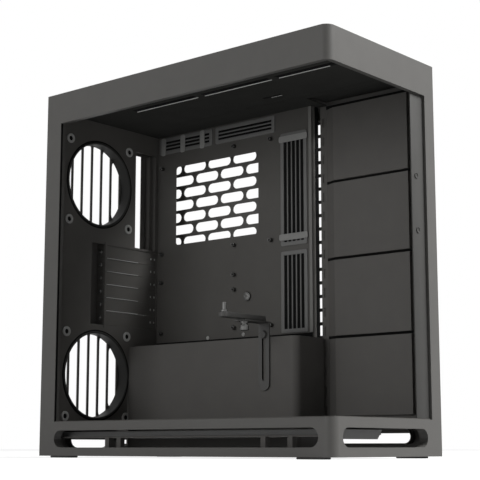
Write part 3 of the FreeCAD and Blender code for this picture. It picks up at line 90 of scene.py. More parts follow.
@dataclass
class Patch:
    """Points and four-cornered faces of a piece that is being built."""

    points: Array
    quads: Array

    @staticmethod
    def grid(points: Array, wrap_rows: bool = False) -> "Patch":
        """Joins a grid of points, closed along its columns, into faces.

        Args:
            points: rows by columns by 3; the columns go round the piece.
            wrap_rows: whether the last row joins the first one.

        Returns:
            The grid as a patch.
        """
        rows, columns = points.shape[:2]
        i = np.arange(rows if wrap_rows else rows - 1)[:, None]
        j = np.arange(columns)[None, :]
        below, above = i * columns, (i + 1) % rows * columns
        right = (j + 1) % columns
        quads = np.stack([below + j, below + right, above + right, above + j], axis=-1)
        return Patch(points.reshape(-1, 3), quads.reshape(-1, 4))

    def copies(self, offsets: Array) -> "Patch":
        """Repeats the patch.

        Args:
            offsets: where the copies go, n by 3.

        Returns:
            All the copies in one patch.
        """
        points = self.points[None] + offsets[:, None]
        quads = self.quads[None] + np.arange(len(offsets))[:, None, None] * len(self.points)
        return Patch(points.reshape(-1, 3), quads.reshape(-1, 4))


def joined(patches: list[Patch]) -> Patch:
    """Puts several patches into one.

    Args:
        patches: the patches.

    Returns:
        One patch with all their points and faces.
    """
    starts = np.cumsum([0] + [len(patch.points) for patch in patches[:-1]])
    quads = [patch.quads + start for patch, start in zip(patches, starts)]
    return Patch(np.concatenate([patch.points for patch in patches]), np.concatenate(quads))


def raised(
    plans: Array, levels: Array, middle: Place, axis: Axis, wrap_rows: bool = False
) -> Patch:
    """Stacks outlines: a point (u, v) of row k goes to middle + u U + v V + level(k) W.

    Args:
        plans: the outlines, rows by points by 2.
        levels: each row's height.
        middle: where the axis passes at height 0.
        axis: the direction of the height.
        wrap_rows: whether the last row joins the first one.

    Returns:
        The surface.
    """
    tops = np.broadcast_to(levels[:, None, None], plans.shape[:2] + (1,))
    points = np.concatenate([plans, tops], axis=-1) @ axis.basis()
    return Patch.grid(np.asarray(middle) + points, wrap_rows)


def turned(
    radii: Array, heights: Array, place: Place, axis: Axis, steps: int = 40, looped: bool = False
) -> Patch:
    """Turns a profile about an axis.

    The point at step s and angle a is place + r(s, a) (U cos a + V sin a) + h(s, a) W.

    Args:
        radii: the profile's radius at each step, or at each step and angle.
        heights: its height, in the same form.
        place: the axis's foot.
        axis: the direction of the height.
        steps: how many angles.
        looped: whether the profile is a closed loop.

    Returns:
        The turned surface.
    """
    angles = np.linspace(0, 2 * np.pi, steps, endpoint=False)
    shape = (len(radii), steps)
    radii = np.broadcast_to(radii if radii.ndim == 2 else radii[:, None], shape)[..., None]
    heights = np.broadcast_to(heights if heights.ndim == 2 else heights[:, None], shape)[..., None]
    u, v, w = axis.basis()
    spokes = np.cos(angles)[:, None] * u + np.sin(angles)[:, None] * v
    return Patch.grid(np.asarray(place) + radii * spokes + heights * w, looped)


def outline(half_u: float, half_v: float, corner: float, arc: int) -> Array:
    """A rectangle with rounded corners: corner centre plus radius times (cos a, sin a) in each quarter.

    Args:
        half_u: half its size along U.
        half_v: half its size along V.
        corner: the corner radius.
        arc: how many steps a corner has.

    Returns:
        4 (arc + 1) points, anticlockwise.
    """
    quarters = np.repeat(np.arange(4), arc + 1)
    turns = np.tile(np.linspace(0, np.pi / 2, arc + 1), 4) + quarters * np.pi / 2
    signs = np.array([(1, 1), (-1, 1), (-1, -1), (1, -1)])[quarters]
    centres = signs * np.array([half_u - corner, half_v - corner])
    return centres + corner * np.stack([np.cos(turns), np.sin(turns)], axis=-1)


def bevelled(
    low: Place, high: Place, axis: Axis, corner: float, bevel: float, arc: int = 6, rounds: int = 3
) -> Patch:
    """A block with rounded corners in plan and rolled edges at its top and foot.

    Row k is the plan outline drawn in by bevel (1 - sin t) at a height of bevel (1 - cos t) from the end,
    for t from 0 to a quarter turn, and a row of one repeated point closes each end.

    Args:
        low: its lowest corner.
        high: its highest corner.
        axis: the direction of its height.
        corner: the corner radius in plan.
        bevel: the radius of the rolled edges.
        arc: steps in a corner.
        rounds: steps in a rolled edge.

    Returns:
        The closed block.
    """
    low, high = np.asarray(low, float), np.asarray(high, float)
    half = np.abs(axis.basis() @ (high - low)) / 2
    turns = np.linspace(0, np.pi / 2, rounds + 1)
    draw = bevel * (1 - np.sin(turns))
    rise = bevel * (1 - np.cos(turns))
    insets = np.concatenate([draw, draw[::-1]])
    levels = np.concatenate([-half[2] + rise, half[2] - rise[::-1]])
    plans = np.stack([outline(half[0] - b, half[1] - b, max(corner - b, 0.0), arc) for b in insets])
    plans = np.concatenate([plans[:1] * 0, plans, plans[:1] * 0])
    levels = np.concatenate([levels[:1], levels, levels[-1:]])
    return raised(plans, levels, (low + high) / 2, axis)


def strip(
    low: Place, high: Place, axis: Axis, corner: float = 0.3 * MM, roll: float = 0.3 * MM
) -> Patch:
    """A thin strip of sheet or foam: a block with few steps in its slightly rolled edges."""
    return bevelled(low, high, axis, corner, roll, 2, 2)


def ringed(
    middle: Place, axis: Axis, outer: Array, inner: Array, thickness: float, bevel: float
) -> Patch:
    """A flat ring between two outlines of equal count, with a chamfer round its hole.

    The rows go round the section: outer wall up, across the face, down the hole, and back underneath.

    Args:
        middle: the ring's centre, halfway up.
        axis: the direction of its height.
        outer: the outer outline, n by 2.
        inner: the hole's outline, n by 2.
        thickness: its height.
        bevel: the chamfer.

    Returns:
        The closed ring.
    """
    half = thickness / 2
    grown = inner * (1 + bevel / np.abs(inner).max(axis=0))
    plans = np.stack([outer, outer, grown, inner, inner, grown])
    levels = np.array([-half, half, half, half - bevel, bevel - half, -half])
    return raised(plans, levels, middle, axis, True)


def framed(
    low: Array, high: Array, axis: Axis, corner: float, rim: float, roll: float, arc: int = 5
) -> Patch:
    """A frame with rounded corners whose section is a flat bar with a rolled top edge on both sides.

    Row k is the outline drawn in by d(k) at height h(k): up the outer wall, round its roll, across the top,
    round the inner roll, and down the inner wall.

    Args:
        low: its lowest corner.
        high: its highest corner.
        axis: the direction of its height.
        corner: the outer corner radius.
        rim: the bar's width.
        roll: the radius of the rolls.
        arc: steps in a corner.

    Returns:
        The closed frame.
    """
    least_corner = 0.4 * MM
    half = np.abs(axis.basis() @ (high - low)) / 2
    turns = np.linspace(0, np.pi / 2, 4)
    draw, rise = roll * (1 - np.cos(turns)), half[2] - roll * (1 - np.sin(turns))
    insets = np.concatenate([[0.0], draw, rim - draw[::-1], [rim]])
    levels = np.concatenate([[-half[2]], rise, rise[::-1], [-half[2]]])
    corners = np.maximum(corner - insets, least_corner)
    plans = np.stack([
        outline(half[0] - inset, half[1] - inset, bend, arc) for inset, bend in zip(insets, corners)
    ])
    return raised(plans, levels, (low + high) / 2, axis, True)


def screw_head(place: Place, axis: Axis, radius: float, height: float, drive: Drive) -> Patch:
    """A domed head: h(r) = height sqrt(1 - 0.7 (r / R)^2), less a recess where the drive's arms are.

    Args:
        place: the middle of its seat.
        axis: the way it faces.
        radius: its radius R.
        height: its height.
        drive: its recess.

    Returns:
        The closed head.
    """
    steps, dome, arm, reach, sink = 32, 0.7, 0.13, 0.6, 0.5
    shares = np.array([0.0, 1.0, 1.0, 0.94, 0.8, 0.64, 0.52, 0.44, 0.36, 0.28, 0.2, 0.12, 0.0])
    angles = np.linspace(0, 2 * np.pi, steps, endpoint=False)
    heights = height * np.sqrt(1 - dome * shares**2)[:, None] * np.ones(steps)
    heights[:2] = 0.0
    across = np.abs(shares[:, None] * np.cos(angles))
    along = np.abs(shares[:, None] * np.sin(angles))
    arms = (np.minimum(across, along) if drive is Drive.CROSS else across) < arm
    face = (shares < reach) & (np.arange(len(shares)) > 2)
    heights = heights - sink * height * (arms & face[:, None])
    return turned(shares * radius, heights, place, axis, steps)


def knurled(
    profile: Array | list[Point], place: Place, axis: Axis, teeth: int, depth: float
) -> Patch:
    """A turned grip whose radius is r (1 - depth g (1 + cos(teeth a)) / 2) at angle a.

    Args:
        profile: radius, height and grip share g at each step, from foot to top.
        place: the foot of its axis.
        axis: the direction of its height.
        teeth: how many ridges.
        depth: how deep they are, as a share of the radius.

    Returns:
        The closed grip.
    """
    steps = teeth * 4
    angles = np.linspace(0, 2 * np.pi, steps, endpoint=False)
    radii, heights, grips = np.array(profile, float).T
    ripple = 1 - depth * grips[:, None] * (1 + np.cos(teeth * angles)) / 2
    return turned(radii[:, None] * ripple, heights, place, axis, steps)


def thumb_screw(
    low: Array, high: Array, grip: list[Point], teeth: int, depth: float, head: Point, drive: Drive
) -> list[Patch]:
    """A knurled grip that faces left, with a domed head on its end.

    Args:
        low: the lowest corner of the box that it fills.
        high: its highest corner.
        grip: share of the radius, share of the height and grip at each step, from foot to top.
        teeth: how many ridges the grip has.
        depth: how deep they are, as a share of the radius.
        head: the head's share of the radius, where it starts, and its share of the height.
        drive: its recess.

    Returns:
        The grip and the head.
    """
    radius, tall = (high[1] - low[1]) / 2, high[0] - low[0]
    place = seat(low, high, Axis.LEFT)
    wide, start, rise = head
    top = place - np.array([start * tall, 0, 0])
    return [
        knurled(np.array(grip) * (radius, tall, 1), place, Axis.LEFT, teeth, depth),
        screw_head(top, Axis.LEFT, radius * wide, rise * tall, drive),
    ]


def solids(node: str) -> list[tuple[Array, Array]]:
    """Boxes of a CAD node's separate solids, found by spreading the lowest point label over each face.

    Args:
        node: the node's name.

    Returns:
        The lowest and highest corner of each solid.
    """
    mesh = frame["nodes"][node].data
    points = np.empty(len(mesh.vertices) * 3, np.float32)
    corners = np.empty(len(mesh.loops), np.int32)
    mesh.vertices.foreach_get("co", points)
    mesh.loops.foreach_get("vertex_index", corners)
    points = points.reshape(-1, 3)
    _, same = np.unique(np.round(points, DECIMALS), axis=0, return_inverse=True)
    faces = same.reshape(-1)[corners].reshape(-1, 3)
    labels = np.arange(same.max() + 1)
    while True:
        lowest = labels[faces].min(axis=1)
        spread = labels.copy()
        np.minimum.at(spread, faces.ravel(), np.repeat(lowest, 3))
        if (spread == labels).all():
            break
        labels = spread
    groups = labels[same.reshape(-1)]
    members = [points[groups == label].astype(float) for label in np.unique(groups)]
    return [(part.min(axis=0), part.max(axis=0)) for part in members]


def box(node: str) -> tuple[Array, Array]:
    """A CAD node's lowest and highest corner as arrays."""
    low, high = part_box(node)
    return np.array(low), np.array(high)


def seat(low: Array, high: Array, axis: Axis) -> Array:
    """Middle of the face of a box, low to high, from which an axis rises."""
    way = axis.basis()[2]
    return np.where(way > 0, low, np.where(way < 0, high, (low + high) / 2))


def placed(name: str, data: bpy.types.ID) -> bpy.types.Object:
    """Adds an object to the scene.

    Args:
        name: its name.
        data: its mesh, lamp or camera.

    Returns:
        The object.
    """
    made = bpy.data.objects.new(name, data)
    bpy.context.scene.collection.objects.link(made)
    return made


class Graph:
    """Adds and joins the nodes of one node tree."""

    def __init__(self, tree: bpy.types.NodeTree) -> None:
        """Keeps the tree and empties it."""
        self.tree = tree
        tree.nodes.clear()

    def feed(self, node: bpy.types.Node, values: dict[str | int, object]) -> None:
        """Fills a node's inputs.

        Args:
            node: the node.
            values: what goes into each input: a socket is joined, anything else is set.
        """
        for key, value in values.items():
            if isinstance(value, Socket):
                self.tree.links.new(value, node.inputs[key])
            else:
                node.inputs[key].default_value = value

    def add(
        self, kind: str, values: dict[str | int, object] | None = None, **settings: object
    ) -> bpy.types.Node:
        """Adds a node.

        Args:
            kind: the node's type name without its common prefix.
            values: what goes into its inputs.
            settings: its own properties.

        Returns:
            The node.
        """
        node = self.tree.nodes.new(kind if kind.startswith("Node") else "ShaderNode" + kind)
        for name, setting in settings.items():
            setattr(node, name, setting)
        self.feed(node, values or {})
        return node

    def math(self, operation: str, *values: object) -> Socket:
        """A math node's result."""
        return self.add("Math", dict(enumerate(values)), operation=operation).outputs[0]

    def mix(self, share: object, first: object, second: object, blend: str = "MIX") -> Socket:
        """Two colours mixed by a share, in the node's colour sockets: inputs 6 and 7, output 2."""
        values = {0: share, 6: first, 7: second}
        return self.add("Mix", values, data_type="RGBA", blend_type=blend).outputs[2]

    def ramp(self, value: object, low: float, high: float) -> Socket:
        """A value eased from 0 at low to 1 at high."""
        values = {0: value, 1: low, 2: high}
        return self.add("MapRange", values, interpolation_type="SMOOTHSTEP").outputs[0]

    def seen(self) -> Socket:
        """1 for what the camera sees straight, in a reflection or through glass, and 0 for light.

        Returns:
            The value.
        """
        rays = self.add("LightPath").outputs
        straight = self.math("MAXIMUM", rays["Is Camera Ray"], rays["Is Glossy Ray"])
        return self.math("MAXIMUM", straight, rays["Is Transmission Ray"])


class Effects:
    """Node groups that the finishes share, each built once."""

    slow_grain = 40.0
    rub_scale = 90.0
    rub_turn = (0.02, 0.3)
    rub_patches = (0.35, 0.75)
    dust_scale = 24.0
    dust_slope = (0.5, 0.95)
    thread_edge = (0.72, 0.86)

    @staticmethod
    def begin(name: str, inputs: dict[str, str], outputs: dict[str, str]) -> Graph | None:
        """Makes an empty group with named sockets, unless it is there already.

        Args:
            name: the group's name.
            inputs: socket type of each input.
            outputs: socket type of each output.

        Returns:
            The group's graph, or None where the group exists.
        """
        if name in bpy.data.node_groups:
            return None
        tree = bpy.data.node_groups.new(name, "ShaderNodeTree")
        for side, sockets in (("INPUT", inputs), ("OUTPUT", outputs)):
            for label, kind in sockets.items():
                tree.interface.new_socket(label, in_out=side, socket_type="NodeSocket" + kind)
        return Graph(tree)

    @classmethod
    def grain(cls) -> bpy.types.NodeTree:
        """Fine pebbles with a slow change of tone: noise at the grain's size, and at forty times it.

        The tone is 1 + mottle ((fine + 2 slow) / 3 - 1/2).

        Returns:
            The group.
        """
        name = "coat_grain"
        graph = cls.begin(
            name,
            {"Place": "Vector", "Size": "Float", "Mottle": "Float"},
            {"Height": "Float", "Tone": "Float"},
        )
        if graph:
            ins = graph.add("NodeGroupInput").outputs
            scale = graph.math("DIVIDE", 1.0, ins["Size"])
            place = ins["Place"]
            values = {"Vector": place, "Scale": scale, "Detail": 2.0, "Roughness": 0.6}
            fine = graph.add("TexNoise", values)
            wide = graph.math("DIVIDE", scale, cls.slow_grain)
            slow = graph.add("TexNoise", {"Vector": place, "Scale": wide, "Detail": 3.0})
            blend = graph.math("ADD", fine.outputs[0], graph.math("MULTIPLY", slow.outputs[0], 2.0))
            drift = graph.math("SUBTRACT", graph.math("DIVIDE", blend, 3.0), 0.5)
            tone = graph.math("ADD", 1.0, graph.math("MULTIPLY", drift, ins["Mottle"]))
            graph.add("NodeGroupOutput", {"Height": fine.outputs[0], "Tone": tone})
        return bpy.data.node_groups[name]

    @classmethod
    def edges(cls) -> bpy.types.NodeTree:
        """Rounded edge normals, and a mask of where the rounded normal leaves the flat one.

        Returns:
            The group.
        """
        name = "edge_rub"
        graph = cls.begin(
            name,
            {"Place": "Vector", "Radius": "Float"},
            {"Mask": "Float", "Normal": "Vector"},
        )
        if graph:
            ins = graph.add("NodeGroupInput").outputs
            bevel = graph.add("Bevel", {"Radius": ins["Radius"]}, samples=4)
            flat = graph.add("NewGeometry").outputs["Normal"]
            dot = graph.add("VectorMath", {0: bevel.outputs[0], 1: flat}, operation="DOT_PRODUCT")
            turn = graph.ramp(graph.math("SUBTRACT", 1.0, dot.outputs["Value"]), *cls.rub_turn)
            rubs = graph.add("TexNoise", {"Vector": ins["Place"], "Scale": cls.rub_scale, "Detail": 4.0})
            mask = graph.math("MULTIPLY", turn, graph.ramp(rubs.outputs[0], *cls.rub_patches))
            graph.add("NodeGroupOutput", {"Mask": mask, "Normal": bevel.outputs[0]})
        return bpy.data.node_groups[name]

    @classmethod
    def dust(cls) -> bpy.types.NodeTree:
        """Dust on what faces up, broken by noise.

        Returns:
            The group.
        """
        name = "settled_dust"
        graph = cls.begin(name, {"Place": "Vector", "Amount": "Float"}, {"Mask": "Float"})
        if graph:
            ins = graph.add("NodeGroupInput").outputs
            parts = graph.add("SeparateXYZ", {0: graph.add("NewGeometry").outputs["Normal"]})
            values = {"Vector": ins["Place"], "Scale": cls.dust_scale, "Detail": 6.0}
            cloud = graph.add("TexNoise", values)
            level = graph.ramp(parts.outputs[2], *cls.dust_slope)
            lying = graph.math("MULTIPLY", level, cloud.outputs[0])
            graph.add("NodeGroupOutput", {"Mask": graph.math("MULTIPLY", lying, ins["Amount"])})
        return bpy.data.node_groups[name]

    @classmethod
    def weave(cls) -> bpy.types.NodeTree:
        """Two crossed sets of threads, |sin| along each direction, with a mask of where a thread is.

        Returns:
            The group.
        """
        name = "crossed_threads"
        graph = cls.begin(
            name,
            {"First": "Float", "Second": "Float", "Pitch": "Float"},
            {"Height": "Float", "Thread": "Float"},
        )
        if graph:
            ins = graph.add("NodeGroupInput").outputs
            turn = graph.math("DIVIDE", math.pi, ins["Pitch"])
            waves = [
                graph.math("ABSOLUTE", graph.math("SINE", graph.math("MULTIPLY", ins[key], turn)))
                for key in ("First", "Second")
            ]
            height = graph.math("MAXIMUM", *waves)
            thread = graph.ramp(height, *cls.thread_edge)
            graph.add("NodeGroupOutput", {"Height": height, "Thread": thread})
        return bpy.data.node_groups[name]


@dataclass(frozen=True)
class Finish:
    """A coat, moulded or bare surface with its own grain.

    Attributes:
        name: the material's name.
        slot: the record's slot that it fills.
        colour: its linear base colour.
        roughness: its middle roughness.
        metallic: 1 for bare metal.
        specular: the strength of its surface reflection.
        grain_size: width of the grain, in metres.
        grain_height: depth of the grain, in metres.
        mottle: how far the tone drifts.
        edge_radius: radius of its rounded edges, in metres.
        edge_colour: what shows where an edge is rubbed.
        edge_rub: how much of that shows.
        dust: how much dust lies on it.
    """

    name: str
    slot: str
    colour: Colour
    roughness: float
    metallic: float = 0.0
    specular: float = 0.5
    grain_size: float = 0.7 * MM
    grain_height: float = 0.03 * MM
    mottle: float = 0.25
    edge_radius: float = 0.5 * MM
    edge_colour: Colour = (0.3, 0.3, 0.29)
    edge_rub: float = 0.12
    dust: float = 0.05

    def material(self) -> bpy.types.Material:
        """Makes the finish's material at its first use.

        Returns:
            The material.
        """
        if self.name in bpy.data.materials:
            return bpy.data.materials[self.name]
        made = bpy.data.materials.new(self.name)
        made.use_nodes = True
        graph = Graph(made.node_tree)
        place = graph.add("TexCoord").outputs["Object"]
        plain = {"Metallic": self.metallic, "Specular IOR Level": self.specular}
        shader = graph.add("BsdfPrincipled", plain)
        height, tone = self.relief(graph, place, shader)
        values = {"Place": place, "Radius": self.edge_radius}
        edge = graph.add("Group", values, node_tree=Effects.edges()).outputs
        values = {"Place": place, "Amount": self.dust}
        film = graph.add("Group", values, node_tree=Effects.dust()).outputs["Mask"]
        grey = graph.add("CombineColor", {0: tone, 1: tone, 2: tone}).outputs[0]
        base = graph.mix(1.0, (*self.colour, 1.0), grey, "MULTIPLY")
        rub = graph.math("MULTIPLY", edge["Mask"], self.edge_rub)
        base = graph.mix(rub, base, (*self.edge_colour, 1.0))
        base = graph.mix(film, base, DUST_COLOUR)
        rough = graph.math("ADD", graph.math("MULTIPLY", tone, self.roughness), film)
        values = {"Height": height, "Distance": self.grain_height, "Strength": 1.0, "Normal": edge["Normal"]}
        bump = graph.add("Bump", values)
        graph.feed(shader, {"Base Color": base, "Roughness": rough, "Normal": bump.outputs[0]})
        graph.add("OutputMaterial", {0: shader.outputs[0]})
        return made

    def relief(self, graph: Graph, place: Socket, shader: bpy.types.Node) -> tuple[Socket, Socket]:
        """Height and tone of the surface's grain.

        Args:
            graph: the material's graph.
            place: object coordinates.
            shader: the material's shader.

        Returns:
            The height for the bump, and the tone that the colour is multiplied by.
        """
        values = {"Place": place, "Size": self.grain_size, "Mottle": self.mottle}
        grain = graph.add("Group", values, node_tree=Effects.grain()).outputs
        return grain["Height"], grain["Tone"]


@dataclass(frozen=True)
class Brushed(Finish):
    """Bare or plated metal with fine lines along one axis.

    Attributes:
        stretch: how the grain is scaled along X, Y and Z, small along the lines.
    """

    stretch: tuple[float, float, float] = (1.0, 1.0, 0.04)

    def relief(self, graph: Graph, place: Socket, shader: bpy.types.Node) -> tuple[Socket, Socket]:
        """Grain drawn out along the brushed lines."""
        drawn = graph.add("Mapping", {"Vector": place, "Scale": self.stretch}).outputs[0]
        return super().relief(graph, drawn, shader)


@dataclass(frozen=True)
class Woven(Finish):
    """A finish of crossed threads.

    Attributes:
        pitch: distance between threads, in metres.
        nap: height of the fine noise on them, as a share of theirs.
    """

    pitch: float = 0.9 * MM
    nap: float = 0.6

    def threads(self, graph: Graph, place: Socket, axes: tuple[int, int]) -> dict[str, Socket]:
        """Places the crossed threads.

        Args:
            graph: the material's graph.
            place: object coordinates.
            axes: the two axes that the threads lie across.

        Returns:
            The threads' height, and the mask of where a thread is.
        """
        parts = graph.add("SeparateXYZ", {0: place}).outputs
        values = {"First": parts[axes[0]], "Second": parts[axes[1]], "Pitch": self.pitch}
        made = graph.add("Group", values, node_tree=Effects.weave()).outputs
        return {key: made[key] for key in ("Height", "Thread")}


@dataclass(frozen=True)
class Tape(Woven):
    """Hook-and-loop tape with ribs across it.

    Attributes:
        sheen: strength of the soft light on its nap.
        valley_painted_shade: tone between the threads, a painted shade.
        crest_painted_highlight: how much lighter a thread's crest is, a painted highlight.
    """

    sheen: float = 0.25
    valley_painted_shade: float = 0.72
    crest_painted_highlight: float = 0.3

    def relief(self, graph: Graph, place: Socket, shader: bpy.types.Node) -> tuple[Socket, Socket]:
        """Crossed threads under a nap of fine noise, painted darker between the threads and lighter on their
        crests as painted shade and highlight.

        Args:
            graph: the material's graph.
            place: object coordinates.
            shader: the material's shader.

        Returns:
            The height for the bump, and the tone that the colour is multiplied by.
        """
        rise = self.threads(graph, place, (1, 2))["Height"]
        nap, tone = super().relief(graph, place, shader)
        height = graph.math("ADD", rise, graph.math("MULTIPLY", nap, self.nap))
        # Painted shade between the threads and painted highlight on their crests.
        shade = graph.math("ADD", self.valley_painted_shade, graph.math("MULTIPLY", rise, self.crest_painted_highlight))
        shader.inputs["Sheen Weight"].default_value = self.sheen
        return height, graph.math("MULTIPLY", tone, shade)


@dataclass(frozen=True)
class Net(Woven):
    """Open net of crossed threads."""

    pitch: float = 0.8 * MM
    nap: float = 0.2

    def relief(self, graph: Graph, place: Socket, shader: bpy.types.Node) -> tuple[Socket, Socket]:
        """Crossed threads that also cut the surface away between them.

        Args:
            graph: the material's graph.
            place: object coordinates.
            shader: the material's shader.

        Returns:
            The height for the bump, and the tone that the colour is multiplied by.
        """
        threads = self.threads(graph, place, (0, 1))
        graph.feed(shader, {"Alpha": threads["Thread"]})
        nap, tone = super().relief(graph, place, shader)
        height = graph.math("ADD", threads["Height"], graph.math("MULTIPLY", nap, self.nap))
        return height, tone


SHELL = Finish("shell_powder_coat", "shell_coat", (0.119, 0.116, 0.11), 0.48, specular=0.3)
INNER = Finish("inner_powder_coat", "inner_coat", (0.122, 0.118, 0.111), 0.5, specular=0.15)
# Painted light: a lighter copy of the inner coat for the fan covers and the shroud.
INNER_PAINTED_LIGHT = Finish("inner_coat_painted_light", "inner_coat", (0.138, 0.133, 0.126), 0.5, specular=0.15)
# Painted shade: a darker, matt copy of the inner coat for the ceiling, the plate over its gap and the strips
# in its right slots.
SHADE = Finish("ceiling_coat_painted_shade", "inner_coat", (0.062, 0.062, 0.059), 0.75, specular=0.0, edge_rub=0.0)
# Painted shade: a darker copy of the inner coat for the fan rings.
RING_PAINTED_SHADE = Finish("ring_coat_painted_shade", "inner_coat", (0.045, 0.045, 0.043), 0.5, specular=0.12)
# Painted highlight: a much lighter copy of the inner coat for the bead on the tray's front edge.
ROLL_PAINTED_HIGHLIGHT = Finish("rolled_edge_painted_highlight", "inner_coat", (0.27, 0.265, 0.255), 0.5, specular=0.15)
# Painted shade: a darker copy of the inner coat for the glass seat strip, the post's fold and its caps.
STRIP_PAINTED_SHADE = Finish("strip_coat_painted_shade", "inner_coat", (0.076, 0.075, 0.072), 0.5, specular=0.15)
SUPPORT = Finish("support_satin_coat", "support_coat", (0.09, 0.089, 0.086), 0.42, specular=0.3)
METAL = Brushed(
    "plated_steel", "bright_metal", (0.12, 0.12, 0.117), 0.42, metallic=1.0, grain_size=0.25 * MM,
    grain_height=0.01 * MM, edge_rub=0.3, edge_colour=(0.4, 0.4, 0.39),
)
# Painted highlight: a light grey, not metal, for the bright lines along the slot covers, their tongues and
# the tray's foot screws.
PAINTED_HIGHLIGHT_GREY = Finish(
    "painted_highlight_grey", "bright_metal", (0.55, 0.55, 0.54), 0.5, grain_size=0.2 * MM,
    grain_height=0.01 * MM, edge_rub=0.0,
)
EDGE = Brushed(
    "bare_sheet_edge", "bright_metal", (0.48, 0.48, 0.47), 0.32, metallic=1.0, grain_size=0.2 * MM,
    grain_height=0.01 * MM, edge_rub=0.0, stretch=(1.0, 0.05, 1.0),
)
RUBBER = Finish(
    "moulded_rubber", "black_rubber", (0.04, 0.04, 0.039), 0.68, grain_size=0.4 * MM, edge_rub=0.0, dust=0.1
)
MOUNT = Finish("soft_mount_rubber", "black_rubber", (0.5, 0.5, 0.49), 0.6, specular=0.3, edge_rub=0.0)
COMB = Finish("cable_comb_rubber", "black_rubber", (0.21, 0.21, 0.206), 0.62, specular=0.3, edge_rub=0.0)
FOOT = Finish(
    "foot_rubber", "black_rubber", (0.15, 0.15, 0.147), 0.7, specular=0.3, grain_size=0.4 * MM,
    edge_rub=0.0, dust=0.1,
)
# Near-black; in the ring bands, mount bores, bracket slot, tray return and joint, fan cover gaps and ceiling
# it is painted shade and shadow.
SEAL_AND_PAINTED_SHADE = Finish(
    "black_seal_and_painted_shade", "black_rubber", (0.012, 0.012, 0.012), 0.9, specular=0.05, grain_size=1.2 * MM,
    grain_height=0.2 * MM, edge_rub=0.0, dust=0.02,
)
TAPE = Tape(
    "hook_and_loop_tape", "strap_fabric", (0.42, 0.42, 0.41), 0.85, specular=0.2, grain_size=0.3 * MM,
    grain_height=0.25 * MM, edge_rub=0.0,
)
PLASTIC = Finish(
    "filter_frame_plastic", "filter_plastic", (0.19, 0.19, 0.187), 0.55, grain_size=0.35 * MM, edge_rub=0.0
)
NET = Net(
    "filter_net_thread", "filter_net", (0.09, 0.09, 0.088), 0.8, specular=0.2, grain_height=0.15 * MM,
    edge_rub=0.0, dust=0.15,
)
SLOT_FINISHES = {
    finish.slot: finish for finish in (SHELL, INNER, SUPPORT, METAL, RUBBER, TAPE, PLASTIC, NET)
}
# The ceiling's and the seat strip's coats are painted shade; the shroud's and the fan covers' coat is
# painted light.
NODE_FINISHES = {"top_fan_bracket": SHADE, "glass_seat_strip": STRIP_PAINTED_SHADE, "psu_shroud": INNER_PAINTED_LIGHT}
NODE_FINISHES |= {f"fan_cover_{number}": INNER_PAINTED_LIGHT for number in range(1, 5)}


def piece(
    name: str, patches: list[Patch], finish: Finish, body: str = "chassis", nodes: tuple[str, ...] = (),
) -> bpy.types.Object:
    """Makes an object of the patches, welds its poles and seams, and gives it its body and finish.

    Args:
        name: the piece's name.
        patches: its surfaces.
        finish: its finish.
        body: the body that it rides on.
        nodes: the CAD nodes that it stands for.

    Returns:
        The object.
    """
    whole = joined(patches)
    mesh = bpy.data.meshes.new(name)
    mesh.from_pydata(whole.points.tolist(), [], whole.quads.tolist())
    shell = bmesh.new()
    shell.from_mesh(mesh)
    bmesh.ops.remove_doubles(shell, verts=shell.verts, dist=WELD)
    bmesh.ops.dissolve_degenerate(shell, edges=shell.edges, dist=SLIVER)
    bmesh.ops.recalc_face_normals(shell, faces=shell.faces)
    shell.to_mesh(mesh)
    shell.free()
    mesh.shade_smooth()
    mesh.set_sharp_from_angle(angle=math.radians(SHARP_ANGLE))
    mesh.materials.append(finish.material())
    made = placed(name, mesh)
    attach(made, body)
    if nodes:
        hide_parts(*nodes)
    LOG.info("%s: %d faces", name, len(mesh.polygons))
    return made


